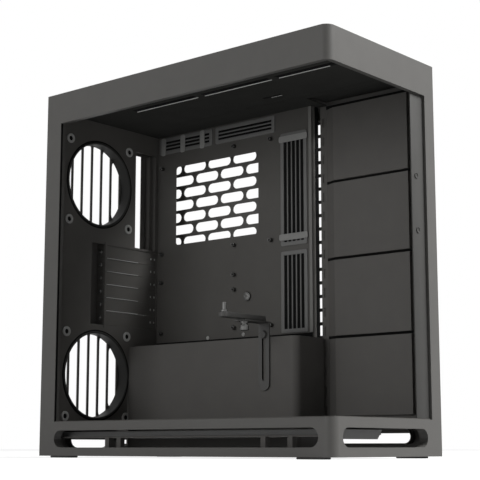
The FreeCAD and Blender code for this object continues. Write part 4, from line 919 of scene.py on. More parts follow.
@dataclass
class SidePanel:
    """The right-hand panel with its rows of round-ended slots."""

    slot_length: float = 47.5 * MM
    slot_width: float = 15 * MM
    pitch_along: float = 52.5 * MM
    pitch_up: float = 20 * MM
    columns: int = 9
    rows: int = 22
    chamfer: float = 0.4 * MM
    arc: int = 7
    snap: float = 0.01 * MM

    def build(self) -> list[bpy.types.Object]:
        """Tiles the panel with slotted cells: whole rows by turns with rows that end in half cells.

        Cells at the rim reach out to the panel's edge, and the walls where two cells meet are left out.

        Returns:
            The panel, in a list.
        """
        low, high = box("right_side_panel")
        thickness = high[0] - low[0]
        web = self.pitch_along - self.slot_length
        whole = self.cell(self.pitch_along, self.slot_length, self.pitch_along / 4, thickness)
        half = self.cell(self.pitch_along / 2, (self.slot_length - web) / 2, 0.0, thickness)
        rises = (np.arange(self.rows) - (self.rows - 1) / 2) * self.pitch_up
        full_row = (np.arange(self.columns) - (self.columns - 1) / 2) * self.pitch_along
        ends = np.array([-1, 1]) * (self.columns / 2 - 0.25) * self.pitch_along
        tiled = joined([
            whole.copies(self.spots(full_row, rises[1::2])),
            whole.copies(self.spots(full_row[:-1] + self.pitch_along / 2, rises[::2])),
            half.copies(self.spots(ends, rises[::2])),
        ])
        field = np.array([np.inf, self.columns * self.pitch_along, self.rows * self.pitch_up])
        rim = np.abs(tiled.points) > field / 2 - self.snap
        reach = np.sign(tiled.points) * (high - low) / 2
        points = (low + high) / 2 + np.where(rim, reach, tiled.points)
        centres = points[tiled.quads].mean(axis=1).round(DECIMALS)
        _, same, counts = np.unique(centres, axis=0, return_inverse=True, return_counts=True)
        outside = counts[same.reshape(-1)] == 1
        panel = Patch(points, tiled.quads[outside])
        return [piece("slotted_side_panel", [panel], SHELL, nodes=("right_side_panel",))]

    def spots(self, along: Array, rises: Array) -> Array:
        """Every place along at every rise, as offsets of n by 3."""
        ys, zs = np.meshgrid(along, rises)
        return np.stack([np.zeros(ys.size), ys.ravel(), zs.ravel()], axis=-1)

    def cell(self, pitch: float, length: float, shoulder: float, thickness: float) -> Patch:
        """A block about the origin with a chamfered slot through it.

        Both outlines are the half turn of the right end and the middle of the top, then the same negated.

        Args:
            pitch: the block's length.
            length: the slot's length.
            shoulder: how far from the middle the block's top and foot are divided.
            thickness: the sheet's thickness.

        Returns:
            The closed block.
        """
        half_u, half_v, radius = pitch / 2, self.pitch_up / 2, self.slot_width / 2
        turns = np.linspace(-np.pi / 2, np.pi / 2, self.arc)
        end = np.stack([length / 2 - radius + radius * np.cos(turns), radius * np.sin(turns)], axis=-1)
        inner = np.concatenate([end, [(0.0, radius)]])
        edge = np.linspace(-half_v, half_v, self.arc - 2)
        side = np.stack([np.full_like(edge, half_u), edge], axis=-1)
        outer = np.concatenate([[(shoulder, -half_v)], side, [(shoulder, half_v), (0.0, half_v)]])
        outer, inner = np.concatenate([outer, -outer]), np.concatenate([inner, -inner])
        return ringed(np.zeros(3), Axis.RIGHT, outer, inner, thickness, self.chamfer)


@dataclass
class FanMouths:
    """The two rolled rings of the rear wall with their painted shade and painted shadow bands, and the soft
    mounts round them.
    """

    wall: float = 3.5 * MM
    shadow_band: float = 2.2 * MM
    shadow_band_gap: float = 0.05 * MM
    shadow_band_set: float = 1.3 * MM
    shadow_band_height: float = 1.8 * MM
    ring_steps: int = 120
    dish: float = 3.7 * MM
    mount_roll: tuple[float, float] = (0.3 * MM, 0.9 * MM)
    bore_shade_steps: int = 24

    def build(self) -> list[bpy.types.Object]:
        """Builds both rings and all the mounts."""
        return self.ring("upper_fan_ring") + self.ring("lower_fan_ring") + self.mounts()

    def ring(self, node: str) -> list[bpy.types.Object]:
        """A short tube with a half-round lip towards the inside of the case, in a darker coat that paints
        the shade inside it, and a near-black band round it that paints the shadow gap at its edge.

        Args:
            node: the CAD ring.

        Returns:
            The ring and its painted shadow band.
        """
        low, high = box(node)
        outer, depth, lip = (high[0] - low[0]) / 2, high[1] - low[1], self.wall / 2
        place = seat(low, high, Axis.FRONT)
        turns = np.linspace(0, np.pi, 9)
        radii = np.concatenate([[outer], outer - lip + lip * np.cos(turns), [outer - self.wall]])
        heights = np.concatenate([[0.0], depth - lip + lip * np.sin(turns), [0.0]])
        ring = turned(radii, heights, place, Axis.FRONT, self.ring_steps, True)
        # Near-black band round the ring: painted shadow in the gap between ring and wall.
        radii = outer + np.array([self.shadow_band_gap, self.shadow_band, self.shadow_band, self.shadow_band_gap])
        heights = depth - self.shadow_band_set + np.array([-1, -1, 0, 0]) * self.shadow_band_height
        shadow_band = turned(radii, heights, place, Axis.FRONT, self.ring_steps, True)
        return [
            piece(node.replace("ring", "rolled_ring"), [ring], RING_PAINTED_SHADE, nodes=(node,)),
            piece(node.replace("ring", "ring_painted_shadow"), [shadow_band], SEAL_AND_PAINTED_SHADE),
        ]

    def mounts(self) -> list[bpy.types.Object]:
        """Round soft mounts: a raised rim, and a near-black disc at the foot of its bore that paints the
        shade there.

        Returns:
            The rims and the bore shades.
        """
        rims, bore_shades = [], []
        near, far = self.mount_roll
        for low, high in solids("fan_mount_grommets"):
            rim, depth, dish = (high[0] - low[0]) / 2, high[1] - low[1], self.dish
            place = seat(low, high, Axis.FRONT)
            radii = np.array([dish, rim, rim, rim - near, rim - far, dish + far, dish + near, dish])
            heights = np.array([0, 0, 0.7, 0.94, 1.0, 1.0, 0.94, 0.7]) * depth
            rims.append(turned(radii, heights, place, Axis.FRONT, looped=True))
            radii, heights = np.array([0, 1, 1, 0]) * dish, np.array([0, 0, 0.2, 0.2]) * depth
            bore_shades.append(turned(radii, heights, place, Axis.FRONT, self.bore_shade_steps))
        return [
            piece("fan_soft_mounts", rims, MOUNT, nodes=("fan_mount_grommets",)),
            piece("fan_soft_mount_bore_shades", bore_shades, SEAL_AND_PAINTED_SHADE),
        ]


@dataclass
class CardSlots:
    """The screws of the expansion slots, the covers' edge strips and tongues in a light grey that paints
    their highlights, and the covers' rims.
    """

    covers: int = 6
    teeth: int = 14
    tooth_depth: float = 0.07
    bead_left: float = -14 * MM
    bead_lift: float = 0.1 * MM
    bead_proud: float = 0.3 * MM
    bead_size: Point = (69 * MM, 0.8 * MM, 0.9 * MM)
    bead_corner: float = 0.4 * MM
    bead_roll: float = 0.3 * MM
    tongue_places: tuple[float, float] = (84 * MM, 92 * MM)
    tongue_half: Point = (0.8 * MM, 0.4 * MM, 1.6 * MM)
    tongue_proud: float = 0.2 * MM
    tongue_corner: float = 0.5 * MM
    tongue_roll: float = 0.2 * MM
    rim_gap: float = 0.1 * MM
    rim_depth: float = 1.2 * MM
    rim_rise: float = 1.5 * MM
    rim_roll: float = 0.2 * MM

    def build(self) -> list[bpy.types.Object]:
        """Builds the screws, the edges, the tongues and the rims."""
        return [self.screws(), self.edges(), self.tongues(), self.rims()]

    def screws(self) -> bpy.types.Object:
        """The knurled thumb screws, with a cross recess each.

        Returns:
            All the screws.
        """
        grip = [(0, 0, 0), (0.9, 0, 0), (1, 0.1, 1), (1, 0.7, 1), (0.85, 0.8, 0), (0, 0.8, 0)]
        head = (0.8, 0.8, 0.2)
        patches = []
        for low, high in solids("slot_screws"):
            patches += thumb_screw(low, high, grip, self.teeth, self.tooth_depth, head, Drive.CROSS)
        return piece("slot_thumb_screws", patches, METAL, nodes=("slot_screws",))

    def edges(self) -> bpy.types.Object:
        """A light grey strip that paints the highlight on the lower edge of each cover but the last, along
        the bead pressed into it.

        Returns:
            All the edges.
        """
        patches = []
        for number in range(1, self.covers):
            low, _ = box(f"slot_cover_{number}")
            foot = np.array([self.bead_left, low[1] - self.bead_proud, low[2] + self.bead_lift])
            top = foot + self.bead_size
            patches.append(bevelled(foot, top, Axis.FRONT, self.bead_corner, self.bead_roll, 3, 2))
        return piece("slot_cover_painted_highlights", patches, PAINTED_HIGHLIGHT_GREY)

    def tongues(self) -> bpy.types.Object:
        """Two small tongues at the foot of each cover, in the light grey that paints their highlights.

        Returns:
            All the tongues.
        """
        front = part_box(f"slot_cover_{self.covers}")[0].y - self.tongue_proud
        spots = []
        for number in range(1, self.covers + 1):
            low, high = box(f"slot_cover_{number}")
            spots += [(x, front, (low[2] + high[2]) / 2) for x in self.tongue_places]
        half = np.array(self.tongue_half)
        tongue = bevelled(-half, half, Axis.FRONT, self.tongue_corner, self.tongue_roll, 3, 2)
        return piece("slot_cover_foot_tongues", [tongue.copies(np.array(spots))], PAINTED_HIGHLIGHT_GREY)

    def rims(self) -> bpy.types.Object:
        """The folded rims above and below the stack of covers.

        Returns:
            Both rims.
        """
        top = box("slot_cover_1")[1][2]
        low, high = box(f"slot_cover_{self.covers}")
        wall = box("rear_wall")[0][1]
        near, far = wall + self.rim_gap, wall + self.rim_depth
        spans = (
            (top + self.rim_gap, top + self.rim_rise),
            (low[2] - self.rim_rise, low[2] - self.rim_gap),
        )
        bars = [
            strip((low[0], near, foot), (high[0], far, head), Axis.FRONT, self.rim_roll, self.rim_roll)
            for foot, head in spans
        ]
        return piece("slot_stack_rims", bars, INNER)


@dataclass
class BoardTray:
    """Hardware of the motherboard tray."""

    thread: float = 1.6 * MM
    round_share: float = 0.87
    sides: int = 6
    teeth: int = 18
    tooth_depth: float = 0.05

    def build(self) -> list[bpy.types.Object]:
        """Builds the standoffs and the thumb screw."""
        return [self.standoffs(), self.thumb()]

    def standoffs(self) -> bpy.types.Object:
        """Six-sided pillars: at angle a the radius is R cos 30 / cos(a mod 60 - 30), with a threaded bore.

        Returns:
            All the pillars.
        """
        patches = []
        steps, side = 6 * self.sides, 2 * np.pi / self.sides
        angles = np.linspace(0, 2 * np.pi, steps, endpoint=False)
        bore = np.full(steps, self.thread)
        for low, high in solids("standoffs"):
            half = max(high[1] - low[1], high[2] - low[2]) / 2
            flat = half * math.cos(side / 2) / np.cos(np.mod(angles, side) - side / 2)
            rounded = np.full(steps, half * self.round_share)
            radii = np.stack([flat, flat, rounded, bore * 1.25, bore, bore])
            heights = np.array([0, 0.9, 1.0, 1.0, 0.93, 0.0]) * (high[0] - low[0])
            place = seat(low, high, Axis.LEFT)
            patches.append(turned(radii, heights, place, Axis.LEFT, steps, True))
        return piece("board_standoffs", patches, METAL, nodes=("standoffs",))

    def thumb(self) -> bpy.types.Object:
        """A flat knurled knob with a driver slot.

        Returns:
            The knob.
        """
        grip = [(0, 0, 0), (0.9, 0, 0), (1, 0.15, 1), (1, 0.65, 1), (0.9, 0.78, 0.3), (0, 0.8, 0)]
        head = (0.72, 0.78, 0.22)
        low, high = box("tray_thumbscrew")
        patches = thumb_screw(low, high, grip, self.teeth, self.tooth_depth, head, Drive.SLOT)
        return piece("tray_thumb_screw", patches, METAL, nodes=("tray_thumbscrew",))


@dataclass
class CableWays:
    """Rubber combs of the cable openings, and the tape straps over them."""

    rim: float = 6 * MM
    web: float = 2.2 * MM
    top_slits: int = 3
    side_slits: int = 5
    roll: float = 0.5 * MM
    corner: float = 3 * MM
    sink: float = 0.3 * MM
    skin: float = 0.5 * MM
    skin_roll: float = 0.1 * MM
    strap_corner: float = 0.3
    strap_roll: float = 0.5 * MM

    def build(self) -> list[bpy.types.Object]:
        """Builds the four combs and both sets of straps."""
        return [
            *self.comb("cable_grommet_top_rear", self.top_slits, True),
            *self.comb("cable_grommet_top_front", self.top_slits, True),
            *self.comb("cable_grommet_side_upper", self.side_slits, False),
            *self.comb("cable_grommet_side_lower", self.side_slits, False),
            self.straps("top_straps"),
            self.straps("side_straps"),
        ]

    def comb(self, node: str, slits: int, level: bool) -> list[bpy.types.Object]:
        """A rolled frame with bars across its window, and the soft skin behind them.

        Args:
            node: the CAD grommet.
            slits: how many slits it has.
            level: whether the slits run along the case rather than up it.

        Returns:
            The comb and its skin.
        """
        low, high = box(node)
        along, across = (1, 2) if level else (2, 1)
        inner = np.array([0.0, self.rim, self.rim])
        slit = (high[across] - low[across] - 2 * self.rim - (slits - 1) * self.web) / slits
        foot, top = low + inner, high - inner
        foot[0] += self.sink
        foot[along] -= self.rim / 2
        top[along] += self.rim / 2
        patches = [framed(low, high, Axis.LEFT, self.corner, self.rim, self.roll)]
        for index in range(1, slits):
            bar_low, bar_high = foot.copy(), top.copy()
            bar_low[across] = low[across] + self.rim + index * slit + (index - 1) * self.web
            bar_high[across] = bar_low[across] + self.web
            patches.append(bevelled(bar_low, bar_high, Axis.LEFT, self.roll, self.roll, 3, 3))
        skin_low = low + inner / 2
        skin_low[0] = high[0] - self.skin
        skin = bevelled(skin_low, high - inner / 2, Axis.LEFT, self.corner, self.skin_roll, 3, 2)
        name = node.replace("grommet", "comb")
        return [piece(name, patches, COMB, nodes=(node,)), piece(name + "_skin", [skin], SEAL_AND_PAINTED_SHADE)]

    def straps(self, node: str) -> bpy.types.Object:
        """Flat tape with rounded ends.

        Args:
            node: the CAD straps.

        Returns:
            The straps.
        """
        patches = []
        for low, high in solids(node):
            corner = min(high[1] - low[1], high[2] - low[2]) * self.strap_corner
            patches.append(bevelled(low, high, Axis.LEFT, corner, self.strap_roll, 5, 3))
        return piece(node.replace("straps", "tape_straps"), patches, TAPE, nodes=(node,))


@dataclass
class CardSupport:
    """The sliding bracket's knob, clamp screw and the near-black sheets that paint the shade in its slot,
    the swivel arm and its post.
    """

    teeth: int = 20
    tooth_depth: float = 0.06
    waist: float = 4.2 * MM
    bore: float = 3 * MM
    bore_gap: float = 0.05 * MM
    collar: float = 2.5 * MM
    leg: float = 2.4 * MM
    slot_half: float = 3.2 * MM
    slot_lift: float = 14 * MM
    slot_drop: float = 12 * MM
    shade_thickness: float = 0.08 * MM
    shade_roll: float = 0.01 * MM
    shank: float = 3 * MM
    clamp_head: float = 3.4 * MM
    clamp_grip: float = 2.6 * MM
    clamp_dome: float = 0.8 * MM
    arm_roll: float = 1.2 * MM

    def build(self) -> list[bpy.types.Object]:
        """Builds the knob, clamp screw, arm, post and the painted shade in the slot."""
        return [self.knob(), self.clamp(), self.arm(), self.post(), self.painted_shades()]

    def knob(self) -> bpy.types.Object:
        """A knurled nut with a waist, a collar and the stud that the arm turns on.

        Returns:
            The knob.
        """
        low, high = box("gpu_knob")
        radius, tall = (high[0] - low[0]) / 2, high[2] - low[2]
        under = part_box("gpu_bracket")[1].z - self.leg - low[2]
        waist_low, waist_high = under - 2 * self.collar, under - self.collar
        stud = self.bore - self.bore_gap
        foot = [(0, 0, 0), (radius * 0.55, 0, 0), (radius * 0.6, 0.4 * MM, 0)]
        grip = [
            (radius * 0.9, 0.4 * MM, 0), (radius, 1.2 * MM, 1), (radius, waist_low - 0.8 * MM, 1),
            (radius * 0.9, waist_low, 0),
        ]
        neck = [(self.waist, waist_low, 0), (self.waist, waist_high, 0)]
        collar = [(radius, waist_high, 0), (radius, under, 0)]
        pin = [(stud, under, 0), (stud, tall - 0.5 * MM, 0), (self.bore - 0.6 * MM, tall, 0), (0, tall, 0)]
        place = seat(low, high, Axis.UP)
        nut = knurled(foot + grip + neck + collar + pin, place, Axis.UP, self.teeth, self.tooth_depth)
        return piece("support_knob", [nut], METAL, "support_bracket", ("gpu_knob",))

    def clamp(self) -> bpy.types.Object:
        """The screw that clamps the bracket to the shroud.

        Returns:
            The screw.
        """
        low, high = box("clamp_screw")
        radius, rise = (high[1] - low[1]) / 2, self.clamp_grip
        place = seat(low, high, Axis.LEFT)
        face = low[0] + self.clamp_head
        foot, top = place.copy(), place.copy()
        foot[0], top[0] = face, face - rise
        long = high[0] - face
        shank = [(0, 0, 0), (self.shank, 0, 0), (self.shank, long, 0), (0, long, 0)]
        grip = [
            (0, 0, 0), (radius * 0.94, 0, 0), (radius, 0.3 * MM, 1), (radius, 2.2 * MM, 1),
            (radius * 0.9, rise, 0), (0, rise, 0),
        ]
        patches = [
            knurled(shank, place, Axis.LEFT, self.teeth, 0.0),
            knurled(grip, foot, Axis.LEFT, self.teeth, self.tooth_depth),
            screw_head(top, Axis.LEFT, radius * 0.8, self.clamp_dome, Drive.CROSS),
        ]
        return piece("bracket_clamp_screw", patches, SUPPORT, nodes=("clamp_screw",))

    def arm(self) -> bpy.types.Object:
        """A flat arm with round ends and rolled edges.

        Returns:
            The arm.
        """
        low, high = box("gpu_arm")
        bar = bevelled(low, high, Axis.UP, (high[1] - low[1]) / 2, self.arm_roll, 10, 3)
        return piece("support_arm_bar", [bar], SUPPORT, "support_arm", ("gpu_arm",))

    def post(self) -> bpy.types.Object:
        """A pin with a collar and a soft tip.

        Returns:
            The pin.
        """
        low, high = box("support_post")
        foot, tall = (high[0] - low[0]) / 2, high[2] - low[2]
        radii = np.array([0, 4.6, 5, 5, 4.6, 3, 3, 2.8, 2.2, 0]) / 5 * foot
        collar = np.array([0, 0, 0.4, 2.6, 3, 3]) * MM
        heights = np.concatenate([collar, tall - np.array([1.2, 0.5, 0, 0]) * MM])
        pin = turned(radii, heights, seat(low, high, Axis.UP), Axis.UP)
        return piece("support_pin", [pin], METAL, "support_arm", ("support_post",))

    def painted_shades(self) -> bpy.types.Object:
        """Near-black sheets on the two straight walls of the bracket's slot, painting the shade inside it.

        Returns:
            Both shade sheets.
        """
        low, high = box("gpu_bracket")
        middle = (low[1] + high[1]) / 2
        foot = low[2] + self.slot_lift + self.slot_half
        top = high[2] - self.slot_drop - self.slot_half
        patches = []
        for side in (-1, 1):
            wall = middle + side * self.slot_half
            near, far = sorted((wall, wall - side * self.shade_thickness))
            corners = (high[0] - self.leg, near, foot), (high[0], far, top)
            patches.append(strip(*corners, Axis.LEFT, self.shade_roll, self.shade_roll))
        return piece("bracket_slot_painted_shade", patches, SEAL_AND_PAINTED_SHADE, "support_bracket")


@dataclass
class SheetFolds:
    """Folded edges of the sheets that show from the front left, and what fills the gaps beside them."""

    sheet: float = 1.2 * MM
    thin_roll: float = 0.1 * MM
    tray_return: float = 9 * MM
    bead_low: Point = (-1 * MM, 0.6 * MM, 9.3 * MM)
    bead_high: Point = (0.5 * MM, 6.6 * MM, -0.2 * MM)
    bead_corner: float = 1.3 * MM
    bead_roll: float = 1.2 * MM
    joint_low: Point = (-0.3 * MM, 2 * MM, 0.1 * MM)
    joint_rise: float = 9.3 * MM
    joint_screws: tuple[tuple[float, float], ...] = ((133.1 * MM, 180.7 * MM), (61.6 * MM, 182.0 * MM))
    screw_radius: float = 2.9 * MM
    screw_height: float = 1.5 * MM
    post_seat_low: Point = (0.5 * MM, -0.4 * MM, 1.3 * MM)
    post_seat_width: float = 3.2 * MM
    rack_strip: float = 11 * MM
    rack_inset: float = 0.5 * MM
    jamb_step: float = 6 * MM
    port_lip: float = 5 * MM
    port_lap: float = 1 * MM
    pan_inset: float = 12 * MM
    pan_right_drop: float = 17 * MM
    pan_rear_drop: float = 24.5 * MM
    covers: int = 4
    gap_shade_depth: float = 1.5 * MM
    slot_x: float = 42 * MM
    slot_width: float = 12 * MM
    slot_starts: Point = (-244.5 * MM, -108 * MM, 28.5 * MM)
    slot_length: float = 124 * MM
    lip_front: float = -207 * MM
    lip_low: float = 0.5 * MM
    lip_high: float = 1 * MM
    lip_sides: tuple[float, float] = (1.1 * MM, 0.5 * MM)
    lip_roll: float = 0.7 * MM
    clip: Point = (26 * MM, -72 * MM, -52 * MM)
    clip_shade: tuple[float, float] = (6 * MM, 12 * MM)
    clip_shade_depth: float = 0.2 * MM
    shade_gap: float = 0.1 * MM
    shade_side: float = 1.2 * MM
    shade_levels: tuple[float, float] = (0.5 * MM, 0.9 * MM)
    shade_corner: float = 0.2 * MM
    shade_roll: float = 0.05 * MM
    edge_shade: Point = (3 * MM, 12 * MM, 0.3 * MM)
    gap_left: float = 63 * MM
    gap_rear: float = -86 * MM
    gap_inset: float = 10 * MM
    gap_levels: tuple[float, float] = (0.9 * MM, 1.2 * MM)

    def build(self) -> list[bpy.types.Object]:
        """Builds the folds, the painted shade strips and what the ceiling has in and over its slots."""
        return [
            self.tray(), self.bead(), *self.joint(), self.post_seat(), self.rack(), self.port(), self.pan(),
            self.gap_shades(), self.lips(), *self.painted_shades(), self.blanks(),
        ]

    def tray(self) -> bpy.types.Object:
        """The return behind the tray's rolled front edge, near-black to paint the shade there.

        Returns:
            The return.
        """
        low, high = box("motherboard_tray")
        top = (high[0] + self.tray_return, low[1] + self.sheet, high[2])
        return piece("tray_edge_return", [strip((high[0], low[1], low[2]), top, Axis.FRONT)], SEAL_AND_PAINTED_SHADE)

    def bead(self) -> bpy.types.Object:
        """The bead along the tray's front edge, painted lighter than the tray as a highlight.

        Returns:
            The bead.
        """
        low, high = box("motherboard_tray")
        top = np.array([low[0], low[1], high[2]]) + self.bead_high
        roll = bevelled(low + self.bead_low, top, Axis.LEFT, self.bead_corner, self.bead_roll, 5, 5)
        return piece("tray_edge_bead", [roll], ROLL_PAINTED_HIGHLIGHT)

    def joint(self) -> list[bpy.types.Object]:
        """A near-black strip that paints the shadow where the tray meets the shroud, with two screw heads
        above it in the light grey that paints highlights.

        Returns:
            The shadow strip and the screws.
        """
        low, high = box("motherboard_tray")
        top = (low[0], high[1], low[2] + self.joint_rise)
        shadow_strip = strip(low + self.joint_low, top, Axis.LEFT, roll=self.thin_roll)
        heads = [
            screw_head((low[0], y, z), Axis.LEFT, self.screw_radius, self.screw_height, Drive.CROSS)
            for y, z in self.joint_screws
        ]
        return [piece("tray_foot_painted_shadow", [shadow_strip], SEAL_AND_PAINTED_SHADE), piece("tray_foot_screws", heads, PAINTED_HIGHLIGHT_GREY)]

    def post_seat(self) -> bpy.types.Object:
        """The dark seat along the front edge of the rear left post.

        Returns:
            The seat.
        """
        low, high = box("rear_left_post")
        foot = low + self.post_seat_low
        top = (foot[0] + self.post_seat_width, low[1], high[2])
        return piece("post_seat_strip", [strip(foot, top, Axis.FRONT, roll=self.thin_roll)], SEAL_AND_PAINTED_SHADE)

    def rack(self) -> bpy.types.Object:
        """The strip behind the holes in the rack's rear edge.

        Returns:
            The strip.
        """
        low, high = box("side_fan_bracket")
        foot = (high[0], high[1] - self.rack_strip, low[2])
        top = (high[0] + self.sheet, high[1] - self.rack_inset, high[2])
        return piece("rack_edge_strip", [strip(foot, top, Axis.LEFT)], INNER)

    def port(self) -> bpy.types.Object:
        """The lip on the outer panel beside the port opening.

        Returns:
            The lip.
        """
        low, high = box("port_jamb")
        edge = low[0] - self.jamb_step
        foot = (edge - self.port_lip, high[1] - self.sheet, low[2])
        top = (edge + self.port_lap, high[1], high[2])
        return piece("port_opening_lip", [strip(foot, top, Axis.FRONT)], INNER)

    def pan(self) -> bpy.types.Object:
        """The floor pan's right and rear edges, folded down inside the plinth.

        Returns:
            Both folds.
        """
        low, high = box("floor_pan")
        inset = self.pan_inset
        right = strip(
            (high[0] - self.sheet, low[1] + inset, low[2] - self.pan_right_drop),
            (high[0], high[1] - inset, low[2]), Axis.LEFT,
        )
        rear = strip(
            (low[0] + inset, high[1] - self.sheet, low[2] - self.pan_rear_drop),
            (high[0] - inset, high[1], low[2]), Axis.FRONT,
        )
        return piece("floor_pan_folds", [right, rear], INNER)

    def gap_shades(self) -> bpy.types.Object:
        """Near-black strips that paint the shade in the gap between each fan cover and the next, and above
        the first one.

        Returns:
            All the shade strips.
        """
        covers = [box(f"fan_cover_{number}") for number in range(1, self.covers + 1)]
        gaps = [(upper, lower[1][2], upper[0][2]) for upper, lower in zip(covers, covers[1:])]
        gaps.append((covers[0], covers[0][1][2], box("side_fan_bracket")[1][2]))
        patches = [
            strip((high[0] - self.gap_shade_depth, low[1], foot), (high[0], high[1], top), Axis.LEFT)
            for (low, high), foot, top in gaps
        ]
        return piece("fan_cover_gap_shades", patches, SEAL_AND_PAINTED_SHADE)

    def lips(self) -> bpy.types.Object:
        """Half-round bare lips along the inner edges of the left ceiling slots.

        Returns:
            All the lips.
        """
        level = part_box("top_fan_bracket")[0].z
        left, right = self.lip_sides
        spans = [
            (-self.slot_x, max(start, self.lip_front), start + self.slot_length)
            for start in self.slot_starts
        ]
        patches = [
            bevelled((x - left, start, level - self.lip_low), (x + right, end, level + self.lip_high),
                     Axis.LEFT, self.lip_roll, self.lip_roll, 4, 4)
            for x, start, end in [*spans, self.clip]
        ]
        return piece("ceiling_slot_lips", patches, EDGE)

    def painted_shades(self) -> list[bpy.types.Object]:
        """Near-black sheets that paint the shade in the left ceiling slots and at the ceiling's left edge,
        and a plate in the painted-shade coat over its gap.

        Returns:
            The shade sheets and the plate.
        """
        low, high = box("top_fan_bracket")
        level, gap = low[2], self.shade_gap
        under, over = (level + rise for rise in self.shade_levels)
        flats = [
            ((-self.slot_x - self.slot_width + gap, start + gap, under),
             (-self.slot_x - self.shade_side, start + self.slot_length - gap, over))
            for start in self.slot_starts
        ]
        width, short, depth = self.edge_shade
        flats.append(((low[0], low[1], level - depth), (low[0] + width, high[1] - short, level)))
        x, start, end = self.clip
        width, longer = self.clip_shade
        flats.append(((x - width, start, level - self.clip_shade_depth),
                      (x - self.shade_side, end + longer, level)))
        patches = [strip(*flat, Axis.DOWN, self.shade_corner, self.shade_roll) for flat in flats]
        under, over = (high[2] + rise for rise in self.gap_levels)
        plate = strip((self.gap_left, low[1] + self.gap_inset, under), (high[0], self.gap_rear, over),
                      Axis.DOWN, roll=self.shade_roll)
        return [piece("ceiling_painted_shade", patches, SEAL_AND_PAINTED_SHADE), piece("ceiling_gap_shade_plate", [plate], SHADE)]

    def blanks(self) -> bpy.types.Object:
        """Strips in the painted-shade ceiling coat that fill the right ceiling slots.

        Returns:
            All the strips.
        """
        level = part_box("top_fan_bracket")[0].z
        right, top = self.slot_x + self.slot_width, level + self.sheet
        patches = [
            strip((self.slot_x, start, level), (right, start + self.slot_length, top), Axis.DOWN)
            for start in self.slot_starts
        ]
        return piece("ceiling_slot_blanks", patches, SHADE)


@dataclass
class Plinth:
    """The rubber feet."""

    corner: float = 3 * MM
    roll: float = 1 * MM

    def build(self) -> list[bpy.types.Object]:
        """Builds the four feet with rolled edges.

        Returns:
            The feet.
        """
        names = ("foot_front_left", "foot_front_right", "foot_rear_left", "foot_rear_right")
        pads = [(name, bevelled(*box(name), Axis.UP, self.corner, self.roll)) for name in names]
        return [piece(name + "_pad", [pad], FOOT, nodes=(name,)) for name, pad in pads]


@dataclass
class SeatStrip:
    """Soft stops on the front seat strip, and the post's folded edge with its caps in front of them."""

    fold_width: float = 31 * MM
    fold_set: float = 3.8 * MM
    fold_lift: float = 1.3 * MM
    fold_sheet: float = 1.2 * MM
    fold_roll: float = 0.4 * MM
    cap_radius: float = 4 * MM
    cap_height: float = 1.2 * MM
    cap_steps: int = 32
    cap_places: tuple[tuple[float, float], ...] = ((80.2 * MM, 378 * MM), (81.7 * MM, 303.3 * MM))

    def build(self) -> list[bpy.types.Object]:
        """Builds the stops, the fold and its caps."""
        return [self.stops(), self.fold(), self.caps()]

    def stops(self) -> bpy.types.Object:
        """The two domed stops.

        Returns:
            Both stops.
        """
        patches = []
        for low, high in solids("seat_pads"):
            radii = np.array([0, 1, 1, 0.93, 0.75, 0.45, 0.2, 0]) * ((high[0] - low[0]) / 2)
            heights = np.array([0, 0, 0.4, 0.72, 0.93, 1.0, 0.85, 0.85]) * (high[1] - low[1])
            patches.append(turned(radii, heights, seat(low, high, Axis.FRONT), Axis.FRONT))
        return piece("seat_soft_stops", patches, RUBBER, nodes=("seat_pads",))

    def fold(self) -> bpy.types.Object:
        """The front post's edge, folded towards the strip, in the darker coat that paints its shade.

        Returns:
            The fold.
        """
        low, high = box("front_right_post")
        face = low[1] + self.fold_set
        foot = (low[0] - self.fold_width, face, low[2] + self.fold_lift)
        top = (low[0], face + self.fold_sheet, high[2])
        sheet = bevelled(foot, top, Axis.FRONT, self.fold_roll, self.fold_roll, 3, 2)
        return piece("post_edge_fold", [sheet], STRIP_PAINTED_SHADE)

    def caps(self) -> bpy.types.Object:
        """Low round caps on the fold, over the stops, in the same painted-shade coat.

        Returns:
            Both caps.
        """
        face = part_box("front_right_post")[0].y + self.fold_set
        radii = np.array([0, 1, 1, 0.93, 0.84, 0.78, 0.72, 0]) * self.cap_radius
        heights = np.array([0, 0, 0.7, 1, 1, 0.5, 0.4, 0.4]) * self.cap_height
        patches = [
            turned(radii, heights, (x, face, z), Axis.FRONT, self.cap_steps) for x, z in self.cap_places
        ]
        return piece("seat_stop_caps", patches, STRIP_PAINTED_SHADE)


